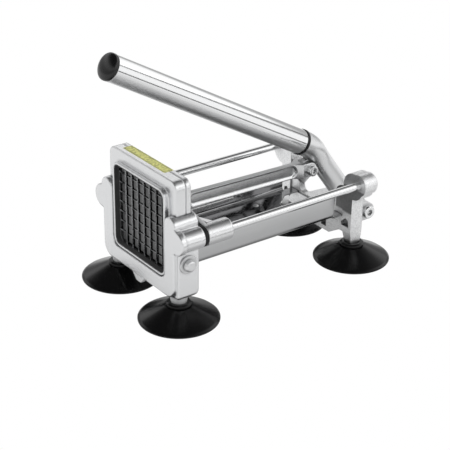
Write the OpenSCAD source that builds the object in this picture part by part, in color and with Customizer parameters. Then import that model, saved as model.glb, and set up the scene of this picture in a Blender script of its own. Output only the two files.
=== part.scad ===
// Lever french fry cutter on four suction feet. A handle drives a pusher along two
// guide rods and presses a potato through a square grid of blades in a cassette.
// Lengths are in millimetres: X runs across, Y from front to back, Z up.
// Y values are measured from the front face of the front bracket, and frame()
// moves every piece so that the origin lies on the table under the middle.

/* [Blade grid] */
// Distance between neighbouring blades
blade_pitch = 9.525; // [8:0.005:12]
// Number of cells along each side
cells = 8; // [6:1:10]
// Thickness of a blade
blade_t = 0.8; // [0.5:0.1:1.2]
// How far the upright blades stand behind the front face of the cassette
blade_setback = 0.8; // [0.4:0.1:1.5]
// How far the level blades stand behind the upright ones
level_setback = 1.5; // [0.2:0.1:1.5]
// Depth of the tabs that hold a blade in the cassette
tab_depth = 5.9; // [4:0.1:7]
// Length of each tab
tab_len = 4.5; // [3:0.5:6]
// Height of the middle of the grid above the table
grid_z = 80.5; // [78:0.5:95]

/* [Cassette] */
// Wall of the black lining of the window
liner_wall = 0.7; // [0.5:0.1:1.2]
// How far the lining stands behind the edge of the lip
liner_setback = 0.5; // [0.2:0.1:1]
// Corner radius of the window
window_r = 6.5; // [5.5:0.5:8]
// Width of the frame beside the window
rim_side = 13.2; // [12:0.1:16]
// Width of the frame above the window
rim_top = 12.2; // [11:0.1:16]
// Width of the frame below the window
rim_bottom = 13.2; // [12:0.1:16]
// Outer corner radius
cassette_r = 7.5; // [5:0.5:9]
// Depth of the front frame
frame_depth = 10.4; // [9.5:0.1:12]
// Depth of the rear cover
cover_depth = 5.1; // [4:0.1:7]
// How far the lip stands forward
lip_reach = 4.6; // [3:0.1:6]
// Wall of the lip
lip_wall = 2.3; // [1.8:0.1:2.4]
// Diameter of the cover screws
cover_screw_d = 3; // [2.5:0.1:3.5]

/* [Front bracket] */
// Thickness of the plate round the window
plate_t = 5.5; // [4:0.1:8]
// Width of the plate beyond each side of the cassette
plate_overlap = 4.3; // [3:0.1:6]
// Thickness of the floor of the cassette slot
slot_floor = 3.8; // [3:0.1:6]
// Corner radius at the bottom of the plate
plate_r = 11.5; // [8:0.5:14]
// Corner radius of the opening round the lip
opening_r = 8.5; // [7:0.5:10]
// Thickness of the walls beside the cassette
side_wall = 7.3; // [6.5:0.1:9]
// How far the walls reach forward over the edge of the plate
side_wall_lap = 2.5; // [1:0.1:4]
// Thickness of the flange behind the cassette
flange_t = 2.8; // [2:0.1:4]
// Radius of the upper lug
lug_r = 8.5; // [7:0.1:9]
// Height of the upper lug above the guide rods
lug_rise = 12.5; // [11:0.5:15]
// Radius of the lobe round the rod on the plate
lobe_r = 11; // [10.2:0.1:12]
// Radius of the boss behind it
boss_r = 9.8; // [8.5:0.1:10.1]
// How far the boss stands behind the flange
boss_proud = 1.1; // [0.5:0.1:3]
// Half width of the tongue under the plate where it meets the plate
tongue_half = 9; // [6:0.5:14]
// Height of the tongue under the plate
tongue_h = 6.1; // [3:0.1:7]
// Distance of the front feet from the front face
foot_front_y = 11.6; // [10:0.1:14]
// Distance of the feet from the outer side walls
foot_inset = 12.6; // [11:0.1:15]

/* [Guide rods] */
// Diameter of a guide rod
rod_d = 7.5; // [6:0.1:8.5]
// Wall between a rod and the cassette slot
rod_wall = 2.65; // [2:0.05:4]
// Thickness of the rubber bumper ring
bumper_t = 3.2; // [2:0.1:5]
// Radius of the bumper ring
bumper_r = 9.5; // [8.5:0.1:10]

/* [Pusher] */
// Length of the pins
pin_len = 14.8; // [12:0.1:20]
// How far the pins stop behind the front edges of the blades
pin_setback = 1.6; // [1:0.1:4]
// Clearance of a pin to its blades at the root
pin_gap = 0.4; // [0.3:0.05:0.8]
// How much narrower a pin is at its tip, on each side
pin_taper = 0.35; // [0.1:0.05:0.8]
// Thickness of the base of the pin block
block_base = 4.5; // [3.5:0.1:7]
// Corner radius of the pin block
block_r = 5.5; // [4:0.1:7]
// Thickness of the pusher plate
pusher_t = 4.5; // [3.5:0.1:7]
// Length of a sleeve
sleeve_len = 26.5; // [20:0.5:34]
// Outer radius of a sleeve
sleeve_r = 9.8; // [8:0.1:10]
// Wall of the bush in a sleeve
bush_wall = 2.2; // [1.5:0.1:3]
// Distance of the clevis pin behind the pusher plate
clevis_back = 12; // [12:0.5:16]
// Height of the clevis pin above the guide rods
clevis_rise = 3.7; // [2:0.1:6]
// Length of the tail rib behind the pusher plate
tail_len = 72; // [50:1:80]

/* [Rear frame] */
// Distance from the front face of the bracket to the rear frame
rear_y = 204; // [195:1:230]
// Depth of a leg
leg_depth = 14; // [12:0.5:18]
// Width of a leg
leg_w = 13; // [11:0.5:16]
// Distance of the outer side of a leg from the middle of its foot
leg_lead = 4.9; // [4:0.1:6]
// Depth of the cross beam
beam_depth = 8; // [7:0.5:11]
// Height of the cross beam
beam_h = 25; // [22:0.5:27]
// Radius of the boss that holds a rod
rear_boss_r = 10.3; // [9:0.1:11]
// Length of that boss
rear_boss_len = 17; // [15:0.5:22]
// Distance of the lever pivot behind the rear frame
pivot_back = 45.5; // [40:0.5:50]
// Height of the lever pivot above the table
pivot_z = 28.5; // [25:0.5:34]
// Outer radius of a pivot ear
ear_r = 9; // [8:0.1:10]
// Thickness of a pivot ear
ear_t = 10; // [8:0.5:12]
// Diameter of the pivot bolt
pivot_d = 8; // [6:0.5:8.5]

/* [Tray] */
// Thickness of the steel sheet
tray_t = 1.2; // [0.8:0.1:1.5]
// Outer bend radius
tray_r = 5; // [4:0.1:6]
// Height of the walls
tray_h = 23.2; // [15:0.1:25]
// Gap between the end of the walls and the rear frame
tray_gap = 10.5; // [6:0.5:16]
// Clearance between the pusher and the tray
tray_clear = 0.7; // [0.5:0.1:1.2]

/* [Suction cups] */
// Outer radius of a cup
cup_r = 36.4; // [32:0.1:40]
// Height of a cup
cup_h = 17.5; // [16:0.5:19]
// Radius of its collar
collar_r = 11.4; // [10.5:0.1:13]
// Thickness of its edge
cup_edge = 1.5; // [1.2:0.1:2.5]
// Radius of the post that stands in it
post_r = 7.2; // [6.5:0.1:8]

/* [Lever] */
// Distance from the pivot to the elbow
arm_len = 92.3; // [88:0.1:100]
// Forward lean of the arm from upright
arm_lean = 36.7; // [34:0.1:39]
// Width of the arm seen from the side
arm_w = 21.4; // [19:0.1:23]
// Thickness of the arm
arm_t = 16; // [14:0.5:18]
// Radius of the hub round the pivot
hub_r = 10; // [9:0.1:11]
// Length of the hub across the machine
hub_len = 27; // [24:0.5:30]
// Distance of the link bolt from the pivot along the arm
lug_along = 78; // [75:0.5:81]
// Distance of the link bolt in front of the middle of the arm
lug_front = 16; // [15:0.5:18]
// Radius of the lug that holds the link bolt
tongue_r = 9.5; // [8.5:0.1:10.5]
// Thickness of that lug
tongue_t = 7; // [5:0.5:8]

/* [Handle] */
// Rise of the handle towards the front, in degrees
handle_rise = 29.2; // [25:0.1:34]
// Length of the neck between the elbow and the gasket
neck_len = 13.3; // [12:0.1:18]
// Outer diameter of the tube
tube_d = 23.6; // [22:0.1:26]
// Length of the tube
tube_len = 231; // [180:1:260]
// Wall of the tube
tube_wall = 1.5; // [1:0.1:2]
// Thickness of the gasket
gasket_t = 2.4; // [1.5:0.1:4]
// Length of the straight part of the end cap
cap_len = 5; // [3:0.1:10]
// Rise of the domed end of the cap
dome_h = 7; // [4:0.1:9]

/* [Link] */
// Height of the link seen from the side
link_h = 15.4; // [13:0.1:17]
// Thickness of the link at its flanges
link_t = 6; // [5:0.1:6.5]
// Thickness of the web between the flanges
link_web = 2.8; // [2:0.1:4]
// Thickness of a flange
link_flange = 3; // [2:0.1:4]
// Thickness of a fork cheek
fork_cheek = 4; // [3:0.1:4.5]
// Diameter of the clevis pin
clevis_pin_d = 8; // [6:0.5:8.5]
// Diameter of the link bolt
link_bolt_d = 6; // [5:0.5:7]

/* [Hidden] */
$fn = 48;

// Clearances and the overrun of cuts
fit = 0.05;
lap_gap = 0.1;
seat_gap = 0.3;
over = 1;
fork_gap = 0.25;
eye_gap = 0.8;

// Grid and cassette
grid_half = cells * blade_pitch / 2;
window_half = grid_half + lap_gap + liner_wall;
cassette_half = window_half + rim_side;
cassette_top = grid_z + window_half + rim_top;
cassette_bottom = grid_z - window_half - rim_bottom;
cassette_h = cassette_top - cassette_bottom;
cassette_z = (cassette_top + cassette_bottom) / 2;
cassette_y = plate_t + seat_gap;
seam_y = cassette_y + frame_depth;
cover_y = seam_y + cover_depth;
lip_half = window_half + lip_wall;
lip_y = cassette_y - lip_reach;
blade_y = cassette_y + blade_setback;
level_y = blade_y + level_setback;
blade_rear = seam_y - lap_gap;
lap_y = (blade_y + blade_rear) / 2;
cover_screw_in = rim_side * 0.32;
cover_screw_head_r = cover_screw_d * 0.95;
cover_screw_head_h = cover_screw_d * 0.7;
cover_screw_tail = frame_depth * 0.55;

// Front bracket
plate_half = cassette_half + plate_overlap;
slot_half = cassette_half + seat_gap;
slot_bottom = cassette_bottom - seat_gap;
plate_bottom = slot_bottom - slot_floor;
wall_half = slot_half + side_wall;
wall_front = plate_t - side_wall_lap;
wall_corner_r = side_wall * 0.55;
flange_y = cover_y + seat_gap;
bracket_rear = flange_y + flange_t;
boss_rear = bracket_rear + boss_proud;
opening_half = lip_half + seat_gap + lap_gap;
opening_bottom = grid_z - opening_half;
rod_r = rod_d / 2;
rod_x = slot_half + rod_wall + rod_r;
lug_x = opening_half + lug_r;
lug_z = grid_z + lug_rise;
tongue_end_share = 0.38;
rear_corner_r = (bracket_rear - wall_front) * 0.3;
foot_x = wall_half - foot_inset;
post_flare = post_r * 0.17;
rod_front = plate_t * 0.6;

// Retaining screws in the side walls
lock_y = cassette_y + frame_depth * 0.62;
lock_z = grid_z - rim_bottom * 1.7;
lock_d = side_wall * 0.7;
lock_head_r = side_wall * 0.78;
lock_head_h = side_wall * 0.62;
lock_washer_r = side_wall * 1.13;
lock_washer_t = side_wall * 0.24;
lock_bite = side_wall * 0.2;

// Pusher
bumper_rear = boss_rear + bumper_t;
sleeve_y = bumper_rear + seat_gap;
sleeve_rear = sleeve_y + sleeve_len;
sleeve_bevel = sleeve_r * 0.14;
pin_tip_y = blade_y + pin_setback;
pin_root_y = pin_tip_y + pin_len;
pusher_y = pin_root_y + block_base;
pusher_rear = pusher_y + pusher_t;
pin_root = blade_pitch - blade_t - 2 * pin_gap;
pin_tip = pin_root - 2 * pin_taper;
block_half = grid_half - (blade_pitch - pin_root) / 2;
pusher_half = block_half - seat_gap;
pusher_screw_at = blade_pitch * 2.5;
pusher_screw_d = pusher_t * 0.8;
pusher_screw_head_r = pusher_screw_d;
pusher_screw_head_h = pusher_screw_d * 0.6;
pusher_screw_tail = block_base * 0.8;
bush_r = rod_r + fit + bush_wall;
arm_inset = sleeve_r;
arm_thick = pusher_t;
arm_low = sleeve_r;
arm_high = sleeve_r + over;
arm_root_high = sleeve_r * 1.6;
web_half = sleeve_r * 0.56;
clevis_y = pusher_rear + clevis_back;
clevis_z = grid_z + clevis_rise;
clevis_pin_r = clevis_pin_d / 2;
eye_r = link_h / 2 - over / 4;
cheek_in = link_t / 2 + fork_gap;
cheek_t = link_t * 0.85;
cheek_out = cheek_in + cheek_t;
cheek_top = clevis_z + eye_r + over;
cheek_floor = clevis_z - eye_r - over * 2;
cheek_floor_t = link_flange;
cheek_rear = clevis_y + eye_r;
slot_r = clevis_pin_r + seat_gap;
slot_flare_front_share = 0.5;
slot_flare_rear_share = 0.25;
tail_t = link_web;
tail_top = cheek_floor;
tail_end_h = link_flange * 1.2;
tail_root_h = link_h / 2;

// Tray
tray_floor = grid_z - block_half - tray_clear;
tray_bottom = tray_floor - tray_t;
tray_half = block_half + tray_clear + tray_t;
tray_top = tray_bottom + tray_h;
tray_front = bracket_rear + seat_gap;
tray_rear = rear_y - tray_gap;
tray_end = rear_y + beam_depth * 0.36;
strap_in = tray_half * 0.69;
strap_out = tray_half - tray_t;
notch_narrow = tray_half * 0.37;
notch_depth = tray_half * 0.55;
notch_step = tray_half * 0.14;
front_tab_half = tray_half * 0.75;
front_tab_drop = tray_h * 0.55;
rivet_r = tray_t * 1.6;
rivet_head_r = tray_t * 2.4;
rivet_head_h = tray_t * 1.3;
brace_x = tray_half * 0.62;
brace_y = tray_rear - tray_half * 1.11;
brace_half = tray_half * 0.8;
brace_w = tray_half * 0.36;
front_rivet_x = front_tab_half * 0.8;
front_rivet_z = (plate_bottom + opening_bottom) / 2;

// Rear frame
leg_outer = foot_x + leg_lead;
leg_inner = leg_outer - leg_w;
leg_rear = rear_y + leg_depth;
beam_rear = rear_y + beam_depth;
beam_top = tray_floor + seat_gap;
beam_bottom = beam_top - beam_h;
beam_low_half = leg_inner * 0.55;
beam_step_half = leg_inner * 0.92;
beam_step = beam_h * 0.35;
gusset_in = strap_in - over;
gusset_top = beam_top + leg_w * 2.28;
gusset_r = (leg_inner - gusset_in) * 0.9;
gusset_fillet_r = leg_w * 0.5;
gusset_back = beam_depth * 0.19;
shoulder_r = leg_w;
shoulder_x = leg_inner + shoulder_r;
shoulder_z = grid_z - rear_boss_r * 0.36;
neck_r = leg_w * 0.6;
neck_x = leg_outer + neck_r;
neck_z = grid_z - sqrt((neck_r + rear_boss_r) ^ 2 - (neck_x - rod_x) ^ 2);
rear_boss_round = rear_boss_r * 0.38;
rear_boss_end = rear_y + rear_boss_len;
rod_rear = rear_boss_end - rear_boss_round;
foot_rear_y = rear_y + leg_depth / 2;
leg_taper = leg_w * 0.14;
leg_taper_top = cup_h + leg_w * 0.8;
leg_cone_top = cup_h + leg_w * 1.1;
leg_cone_r = sqrt((foot_x - leg_inner) ^ 2 + (leg_depth / 2) ^ 2) + over / 4;
pocket_depth = beam_depth * 0.7;
pivot_y = rear_y + pivot_back;
pivot_r = pivot_d / 2;
washer_t = pivot_d * 0.1;
ear_in = hub_len / 2 + washer_t;
ear_out = ear_in + ear_t;
ear_root_rise = ear_r * 0.3;
pivot_head_r = pivot_r * 1.6;
pivot_head_h = pivot_d * 0.62;
pivot_nut_h = pivot_d * 0.8;
pivot_socket_r = pivot_r * 0.8;

// Suction cups
post_end = cup_h - cup_edge * 2;
stud_r = post_r * 0.42;
stud_head_r = post_r * 0.85;
stud_head_h = cup_edge * 1.3;
stud_bottom = cup_h * 0.62;
stud_top = plate_bottom + slot_floor * 0.8;
rim_in = cup_r - cup_edge * 1.4;
hollow_top = cup_h * 0.48;
hollow_top_r = collar_r * 0.8;
collar_h = cup_h * 0.2;
groove = cup_edge * 0.5;

// Lever, with the handle along the axis that rises towards the front
elbow_y = pivot_y - arm_len * sin(arm_lean);
elbow_z = pivot_z + arm_len * cos(arm_lean);
bolt_y = pivot_y - lug_along * sin(arm_lean) - lug_front * cos(arm_lean);
bolt_z = pivot_z + lug_along * cos(arm_lean) - lug_front * sin(arm_lean);
link_bolt_r = link_bolt_d / 2;
hub_bush_wall = pivot_r * 0.45;
hub_bush_r = pivot_r + fit + hub_bush_wall;
tube_r = tube_d / 2;
neck_r_out = tube_r - fit;
spigot_r = tube_r - tube_wall - fit;
spigot_len = tube_d * 1.2;
gasket_r = tube_r + gasket_t * 0.15;
cap_r = tube_r + tube_wall * 0.15;
dome_r = (cap_r ^ 2 + dome_h ^ 2) / (2 * dome_h);
tube_start = neck_len + gasket_t;
tube_stop = tube_start + tube_len;
cap_plug_len = tube_d * 0.8;
arm_edge_r = arm_t * 0.4;
recess_w = arm_w * 0.38;
recess_depth = arm_t * 0.08;
recess_start = hub_r * 2.4;
recess_stop = arm_len - arm_w * 2;

// Link, from the clevis pin to the bolt
link_dy = bolt_y - clevis_y;
link_dz = clevis_z - bolt_z;
link_len = sqrt(link_dy ^ 2 + link_dz ^ 2);
link_tilt = atan2(link_dz, link_dy);
fork_in = tongue_t / 2 + fork_gap;
fork_out = fork_in + fork_cheek;
fork_eye_r = eye_r - over / 4;
fork_len = tongue_r * 0.95;
fork_blend = tongue_r * 0.85;
fork_slot_r = tongue_r + eye_gap;
bolt_head_r = link_bolt_d * 0.85;
bolt_head_h = link_bolt_d * 0.8;
bolt_nut_h = link_bolt_d * 0.7;
bolt_socket_r = link_bolt_r * 0.8;
socket_depth_share = 0.6;
clip_t = clevis_pin_d * 0.15;
pin_head_r = clevis_pin_r * 1.35;

// The origin lies under the middle of the overall length
dome_at = tube_stop + cap_len + dome_h - dome_r;
reach_front = elbow_y - dome_at * cos(handle_rise) - dome_r;
reach_rear = pivot_y + hub_r;
origin_y = (reach_front + reach_rear) / 2;

cast_grey = "#b9bcbf";
steel_grey = "#c6c8ca";
rubber_black = "#1c1c1c";

// Moves a piece so that the origin is under the middle of the machine
module frame() {
    translate([0, -origin_y, 0]) children();
}

// Extrudes an outline drawn in X and Z from y0 to y1
module along_y(y0, y1) {
    translate([0, y1, 0]) rotate([90, 0, 0]) linear_extrude(y1 - y0) children();
}

// Extrudes an outline drawn in Y and Z from x0 to x1
module along_x(x0, x1) {
    translate([x0, 0, 0]) rotate([90, 0, 90]) linear_extrude(x1 - x0) children();
}

// Repeats its children on both sides of the middle
module both() {
    children();
    mirror([1, 0, 0]) children();
}

// Rounded rectangle about a centre
module rounded(w, h, r) {
    square([w - 2 * r, h], center = true);
    square([w, h - 2 * r], center = true);
    for (sx = [-1, 1], sy = [-1, 1])
        translate([sx * (w / 2 - r), sy * (h / 2 - r)]) circle(r);
}

// Rectangle with its two lower corners rounded, standing on the level z0
module rounded_below(half, z0, z1, r) {
    translate([-half, z0 + r]) square([2 * half, z1 - z0 - r]);
    translate([r - half, z0]) square([2 * (half - r), 2 * r]);
    both() translate([half - r, z0 + r]) circle(r);
}

// Cylinder along Y
module rod_y(x, z, r, y0, y1) {
    translate([x, y0, z]) rotate([-90, 0, 0]) cylinder(h = y1 - y0, r = r);
}

// Cylinder along X
module rod_x_at(y, z, r, x0, x1) {
    translate([x0, y, z]) rotate([0, 90, 0]) cylinder(h = x1 - x0, r = r);
}

// Hexagonal prism along X, across corners 2 r
module hex_x(y, z, r, x0, x1) {
    translate([x0, y, z]) rotate([0, 90, 0]) cylinder(h = x1 - x0, r = r, $fn = 6);
}

// Window of the cassette with a clear half width
module window_outline(half, r) {
    translate([0, grid_z]) rounded(2 * half, 2 * half, r);
}

// Opening in the bracket round the lip, open at the top
module lip_opening() {
    rounded_below(opening_half, opening_bottom, cassette_top + over, opening_r);
}

// Front view of the plate with its arms, lobes and tongue
module plate_outline() {
    difference() {
        union() {
            rounded_below(plate_half, plate_bottom, lug_z, plate_r);
            both() translate([lug_x, lug_z]) circle(lug_r);
            both() translate([rod_x, grid_z]) circle(lobe_r);
            polygon([
                [-tongue_half, plate_bottom + over], [-tongue_half, plate_bottom],
                [-tongue_half * tongue_end_share, plate_bottom - tongue_h],
                [tongue_half * tongue_end_share, plate_bottom - tongue_h],
                [tongue_half, plate_bottom], [tongue_half, plate_bottom + over]
            ]);
        }
        lip_opening();
    }
}

// Side view of the walls and the flange, with the lower rear corner rounded
module wall_side() {
    translate([wall_front, plate_bottom + rear_corner_r])
        square([bracket_rear - wall_front, lug_z + lug_r - plate_bottom]);
    translate([wall_front, plate_bottom])
        square([bracket_rear - wall_front - rear_corner_r, 2 * rear_corner_r]);
    translate([bracket_rear - rear_corner_r, plate_bottom + rear_corner_r]) circle(rear_corner_r);
}

// Front view of one side wall, from under the boss down to the foot
module wall_outline() {
    translate([slot_half - over, plate_bottom + wall_corner_r])
        square([side_wall + over, grid_z - plate_bottom - wall_corner_r]);
    translate([slot_half - over, plate_bottom])
        square([side_wall + over - wall_corner_r, 2 * wall_corner_r]);
    translate([wall_half - wall_corner_r, plate_bottom + wall_corner_r]) circle(wall_corner_r);
}

// Foot post with a short flare at its top
module post(y) {
    translate([foot_x, y, post_end]) cylinder(h = cup_h - post_end + over, r = post_r);
    translate([foot_x, y, cup_h])
        cylinder(h = plate_bottom + over - cup_h, r1 = post_r, r2 = post_r + post_flare);
}

module front_bracket() color(cast_grey) frame() difference() {
    union() {
        along_y(0, plate_t) plate_outline();
        intersection() {
            union() {
                both() along_y(wall_front, bracket_rear) wall_outline();
                along_y(plate_t, bracket_rear)
                    rounded_below(plate_half, plate_bottom, lug_z, plate_r);
                both() rod_y(lug_x, lug_z, lug_r, plate_t, bracket_rear);
            }
            along_x(-wall_half - over, wall_half + over) wall_side();
        }
        both() rod_y(rod_x, grid_z, boss_r, plate_t, boss_rear);
        both() post(foot_front_y);
    }
    // Slot that the cassette drops into, and the clear way through the flange
    translate([-slot_half, plate_t, slot_bottom])
        cube([2 * slot_half, flange_y - plate_t, cassette_h + 2 * over]);
    along_y(plate_t, bracket_rear + over) lip_opening();
    both() rod_y(rod_x, grid_z, rod_r + fit, rod_front, boss_rear + over);
    both() rod_x_at(lock_y, lock_z, lock_d / 2 + fit, slot_half - over, wall_half + over);
    both() translate([foot_x, foot_front_y, stud_bottom]) cylinder(h = stud_top - stud_bottom, r = stud_r + fit);
    both() rod_y(front_rivet_x, front_rivet_z, rivet_r + fit, flange_y - over, bracket_rear + over);
}

module cover_screw_holes(r, y0, y1) {
    for (sz = [-1, 1]) both()
        rod_y(
            cassette_half - cover_screw_in - cassette_r / 4,
            cassette_z + sz * (cassette_h / 2 - cover_screw_in - cassette_r / 4),
            r, y0, y1
        );
}

module cassette_frame() color(cast_grey) frame() difference() {
    union() {
        along_y(cassette_y, seam_y)
            translate([0, cassette_z]) rounded(2 * cassette_half, cassette_h, cassette_r);
        along_y(lip_y, cassette_y + over) window_outline(lip_half, window_r + lip_wall);
    }
    along_y(lip_y - over, seam_y + over) window_outline(window_half, window_r);
    // Seat of the blade tabs, closed by the cover
    along_y(blade_rear - tab_depth - lap_gap, seam_y + over)
        window_outline(window_half + tab_len + lap_gap, window_r);
    cover_screw_holes(cover_screw_d / 2 + fit, seam_y - cover_screw_tail - lap_gap, seam_y + over);
    both() rod_x_at(
        lock_y, lock_z, lock_d / 2 + lap_gap,
        cassette_half - lock_bite + seat_gap, cassette_half + over
    );
}

module cassette_cover() color(cast_grey) frame() difference() {
    along_y(seam_y, cover_y)
        translate([0, cassette_z]) rounded(2 * cassette_half, cassette_h, cassette_r);
    along_y(seam_y - over, cover_y + over) window_outline(window_half, window_r);
    cover_screw_holes(cover_screw_d / 2 + fit, seam_y - over, cover_y + over);
    cover_screw_holes(
        cover_screw_head_r + lap_gap, cover_y - cover_screw_head_h - lap_gap, cover_y + over
    );
}

module window_liner() color(rubber_black) frame() difference() {
    along_y(lip_y + liner_setback, blade_y - lap_gap) window_outline(window_half - fit, window_r - fit);
    along_y(lip_y, blade_y) window_outline(window_half - liner_wall, window_r - liner_wall);
}

// One blade seen from its side: front edge at y0, tabs at both ends
module blade_outline(y0) {
    clear_half = window_half - lap_gap;
    translate([y0, -clear_half]) square([blade_rear - y0, 2 * clear_half]);
    translate([blade_rear - tab_depth, -clear_half - tab_len])
        square([tab_depth, 2 * (clear_half + tab_len)]);
}

// Places of the blades along one side of the grid
function blade_at(i) = (i - cells / 2) * blade_pitch;

module vertical_blades() color(steel_grey) frame()
    for (i = [1 : cells - 1])
        translate([blade_at(i), 0, grid_z]) difference() {
            along_x(-blade_t / 2, blade_t / 2) blade_outline(blade_y);
            for (j = [1 : cells - 1])
                translate([-blade_t, lap_y, blade_at(j) - blade_t / 2 - lap_gap])
                    cube([2 * blade_t, blade_rear - lap_y + over, blade_t + 2 * lap_gap]);
        }

module horizontal_blades() color(steel_grey) frame()
    for (i = [1 : cells - 1])
        translate([0, 0, grid_z + blade_at(i)]) difference() {
            rotate([0, 90, 0]) along_x(-blade_t / 2, blade_t / 2) blade_outline(level_y);
            for (j = [1 : cells - 1])
                translate([blade_at(j) - blade_t / 2 - lap_gap, level_y - over, -blade_t])
                    cube([blade_t + 2 * lap_gap, lap_y + lap_gap + over - level_y, 2 * blade_t]);
        }

module cassette_screws() color(steel_grey) frame() {
    cover_screw_holes(cover_screw_d / 2, seam_y - cover_screw_tail, cover_y - cover_screw_head_h);
    cover_screw_holes(cover_screw_head_r, cover_y - cover_screw_head_h, cover_y);
}

// Pan head screws that press the cassette from both sides
module lock_screws() color(steel_grey) frame() both() {
    head = wall_half + lock_washer_t;
    rod_x_at(lock_y, lock_z, lock_d / 2, cassette_half - lock_bite + seat_gap + lap_gap, head);
    translate([head, lock_y, lock_z]) rotate([0, 90, 0]) rotate_extrude() {
        round_r = lock_head_h * 0.45;
        square([lock_head_r - round_r, lock_head_h]);
        square([lock_head_r, lock_head_h - round_r]);
        translate([lock_head_r - round_r, lock_head_h - round_r]) circle(round_r);
    }
}

module lock_washers() color(steel_grey) frame() both() difference() {
    rod_x_at(lock_y, lock_z, lock_washer_r, wall_half, wall_half + lock_washer_t);
    rod_x_at(lock_y, lock_z, lock_d / 2 + fit, wall_half - over, wall_half + lock_washer_t + over);
}

module guide_rod() color(steel_grey) frame()
    rod_y(rod_x, grid_z, rod_r, rod_front + lap_gap, rod_rear - lap_gap);

module guide_rod_right() guide_rod();

module guide_rod_left() mirror([1, 0, 0]) guide_rod();

module bumper() color(rubber_black) frame() difference() {
    rod_y(rod_x, grid_z, bumper_r, boss_rear, bumper_rear);
    rod_y(rod_x, grid_z, rod_r + fit, boss_rear - over, bumper_rear + over);
}

module bumper_right() bumper();

module bumper_left() mirror([1, 0, 0]) bumper();

// Front view of the right leg with the shoulder and the fillet under the boss
module leg_outline() {
    translate([leg_inner, post_end]) square([leg_w, shoulder_z - post_end]);
    translate([shoulder_x, shoulder_z]) circle(shoulder_r);
    translate([rod_x, grid_z]) circle(rear_boss_r);
    difference() {
        polygon([
            [leg_outer - over, neck_z], [neck_x, neck_z],
            [rod_x, grid_z], [leg_outer - over, grid_z]
        ]);
        translate([neck_x, neck_z]) circle(neck_r);
    }
}

// Front view of the cross beam with the gussets over the slots of the tray straps
module beam_outline() {
    both() polygon([
        [-over, beam_bottom], [beam_low_half, beam_bottom],
        [beam_step_half, beam_bottom + beam_step], [leg_inner + over, beam_bottom + beam_step],
        [leg_inner + over, beam_top], [-over, beam_top]
    ]);
    both() {
        translate([gusset_in, beam_top - over])
            square([leg_inner + over - gusset_in, gusset_top - gusset_r + over - beam_top]);
        translate([gusset_in + gusset_r, beam_top])
            square([leg_inner + over - gusset_in - gusset_r, gusset_top - beam_top]);
        translate([gusset_in + gusset_r, gusset_top - gusset_r]) circle(gusset_r);
        difference() {
            translate([gusset_in - gusset_fillet_r, beam_top - over])
                square([gusset_fillet_r + over, gusset_fillet_r + over]);
            translate([gusset_in - gusset_fillet_r, beam_top + gusset_fillet_r]) circle(gusset_fillet_r);
        }
    }
}

// Side view of a leg, narrowed where it stands in the cup
module leg_side() {
    polygon([
        [rear_y, grid_z + 2 * rear_boss_r], [rear_y, leg_taper_top],
        [rear_y + leg_taper, post_end], [leg_rear - leg_taper, post_end],
        [leg_rear, leg_taper_top], [leg_rear, grid_z + 2 * rear_boss_r]
    ]);
}

// Rounds the lower end of a leg for the bore of its cup, and leaves the rest of it alone
module leg_round() {
    translate([foot_x, foot_rear_y, post_end - over]) cylinder(h = cup_h - post_end + 2 * over, r = post_r);
    translate([foot_x, foot_rear_y, cup_h]) cylinder(h = leg_cone_top - cup_h, r1 = post_r, r2 = leg_cone_r);
    translate([0, rear_y - over, leg_cone_top])
        cube([rod_x + 2 * rear_boss_r, leg_depth + 2 * over, grid_z + 2 * rear_boss_r - leg_cone_top]);
}

// Side view of a pivot ear
module ear_side() {
    translate([pivot_y, pivot_z]) circle(ear_r);
    polygon([
        [beam_rear - over, pivot_z - ear_r], [pivot_y, pivot_z - ear_r],
        [pivot_y, pivot_z + ear_r], [beam_rear - over, pivot_z + ear_r + ear_root_rise]
    ]);
}

// Triangular pocket in the face of the frame beside each leg
module leg_pocket() {
    w = leg_w * 0.85;
    polygon([
        [foot_x - w * 0.88, beam_top - w * 0.65], [foot_x - w * 0.27, beam_top - w * 0.12],
        [foot_x + w * 0.05, beam_top - w * 0.26], [foot_x + w * 0.12, beam_top - w * 0.89],
        [foot_x - w * 0.77, beam_top - w * 0.91]
    ]);
}

module rear_frame() color(cast_grey) frame() difference() {
    union() {
        both() intersection() {
            along_y(rear_y, leg_rear) leg_outline();
            along_x(leg_inner - over, rod_x + 2 * rear_boss_r) leg_side();
            leg_round();
        }
        along_y(rear_y, beam_rear) beam_outline();
        both() along_x(ear_in, ear_out) ear_side();
        both() translate([rod_x, rear_y, grid_z]) rotate([-90, 0, 0]) rotate_extrude() {
            square([rear_boss_r - rear_boss_round, rear_boss_len]);
            square([rear_boss_r, rear_boss_len - rear_boss_round]);
            translate([rear_boss_r - rear_boss_round, rear_boss_len - rear_boss_round])
                circle(rear_boss_round);
        }
    }
    both() rod_y(rod_x, grid_z, rod_r + fit, rear_y - over, rod_rear);
    both() along_y(rear_y - over, rear_y + pocket_depth) leg_pocket();
    both() along_y(rear_y - over, rear_y + pocket_depth)
        translate([beam_low_half * 0.45, beam_bottom + beam_h * 0.17])
            square([beam_low_half * 0.33, beam_h * 0.33]);
    rod_x_at(pivot_y, pivot_z, pivot_r + fit, -ear_out - over, ear_out + over);
    both() translate([foot_x, foot_rear_y, stud_bottom]) cylinder(h = stud_top - stud_bottom, r = stud_r + fit);
    // Slot for the end of each tray strap, and the set-back face of the gusset above it
    both() translate([strap_in - lap_gap, rear_y - over, tray_bottom - lap_gap])
        cube([strap_out - strap_in + 2 * lap_gap, tray_end + lap_gap + over - rear_y, tray_t + 2 * lap_gap]);
    both() translate([0, rear_y - over, tray_bottom - lap_gap])
        cube([leg_inner - lap_gap, over + gusset_back, gusset_top + 2 * over - tray_bottom]);
}

// Cross section of the tray, open at the top
module tray_section() {
    difference() {
        rounded_below(tray_half, tray_bottom, tray_top, tray_r);
        rounded_below(tray_half - tray_t, tray_floor, tray_top + over, tray_r - tray_t);
    }
}

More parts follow.
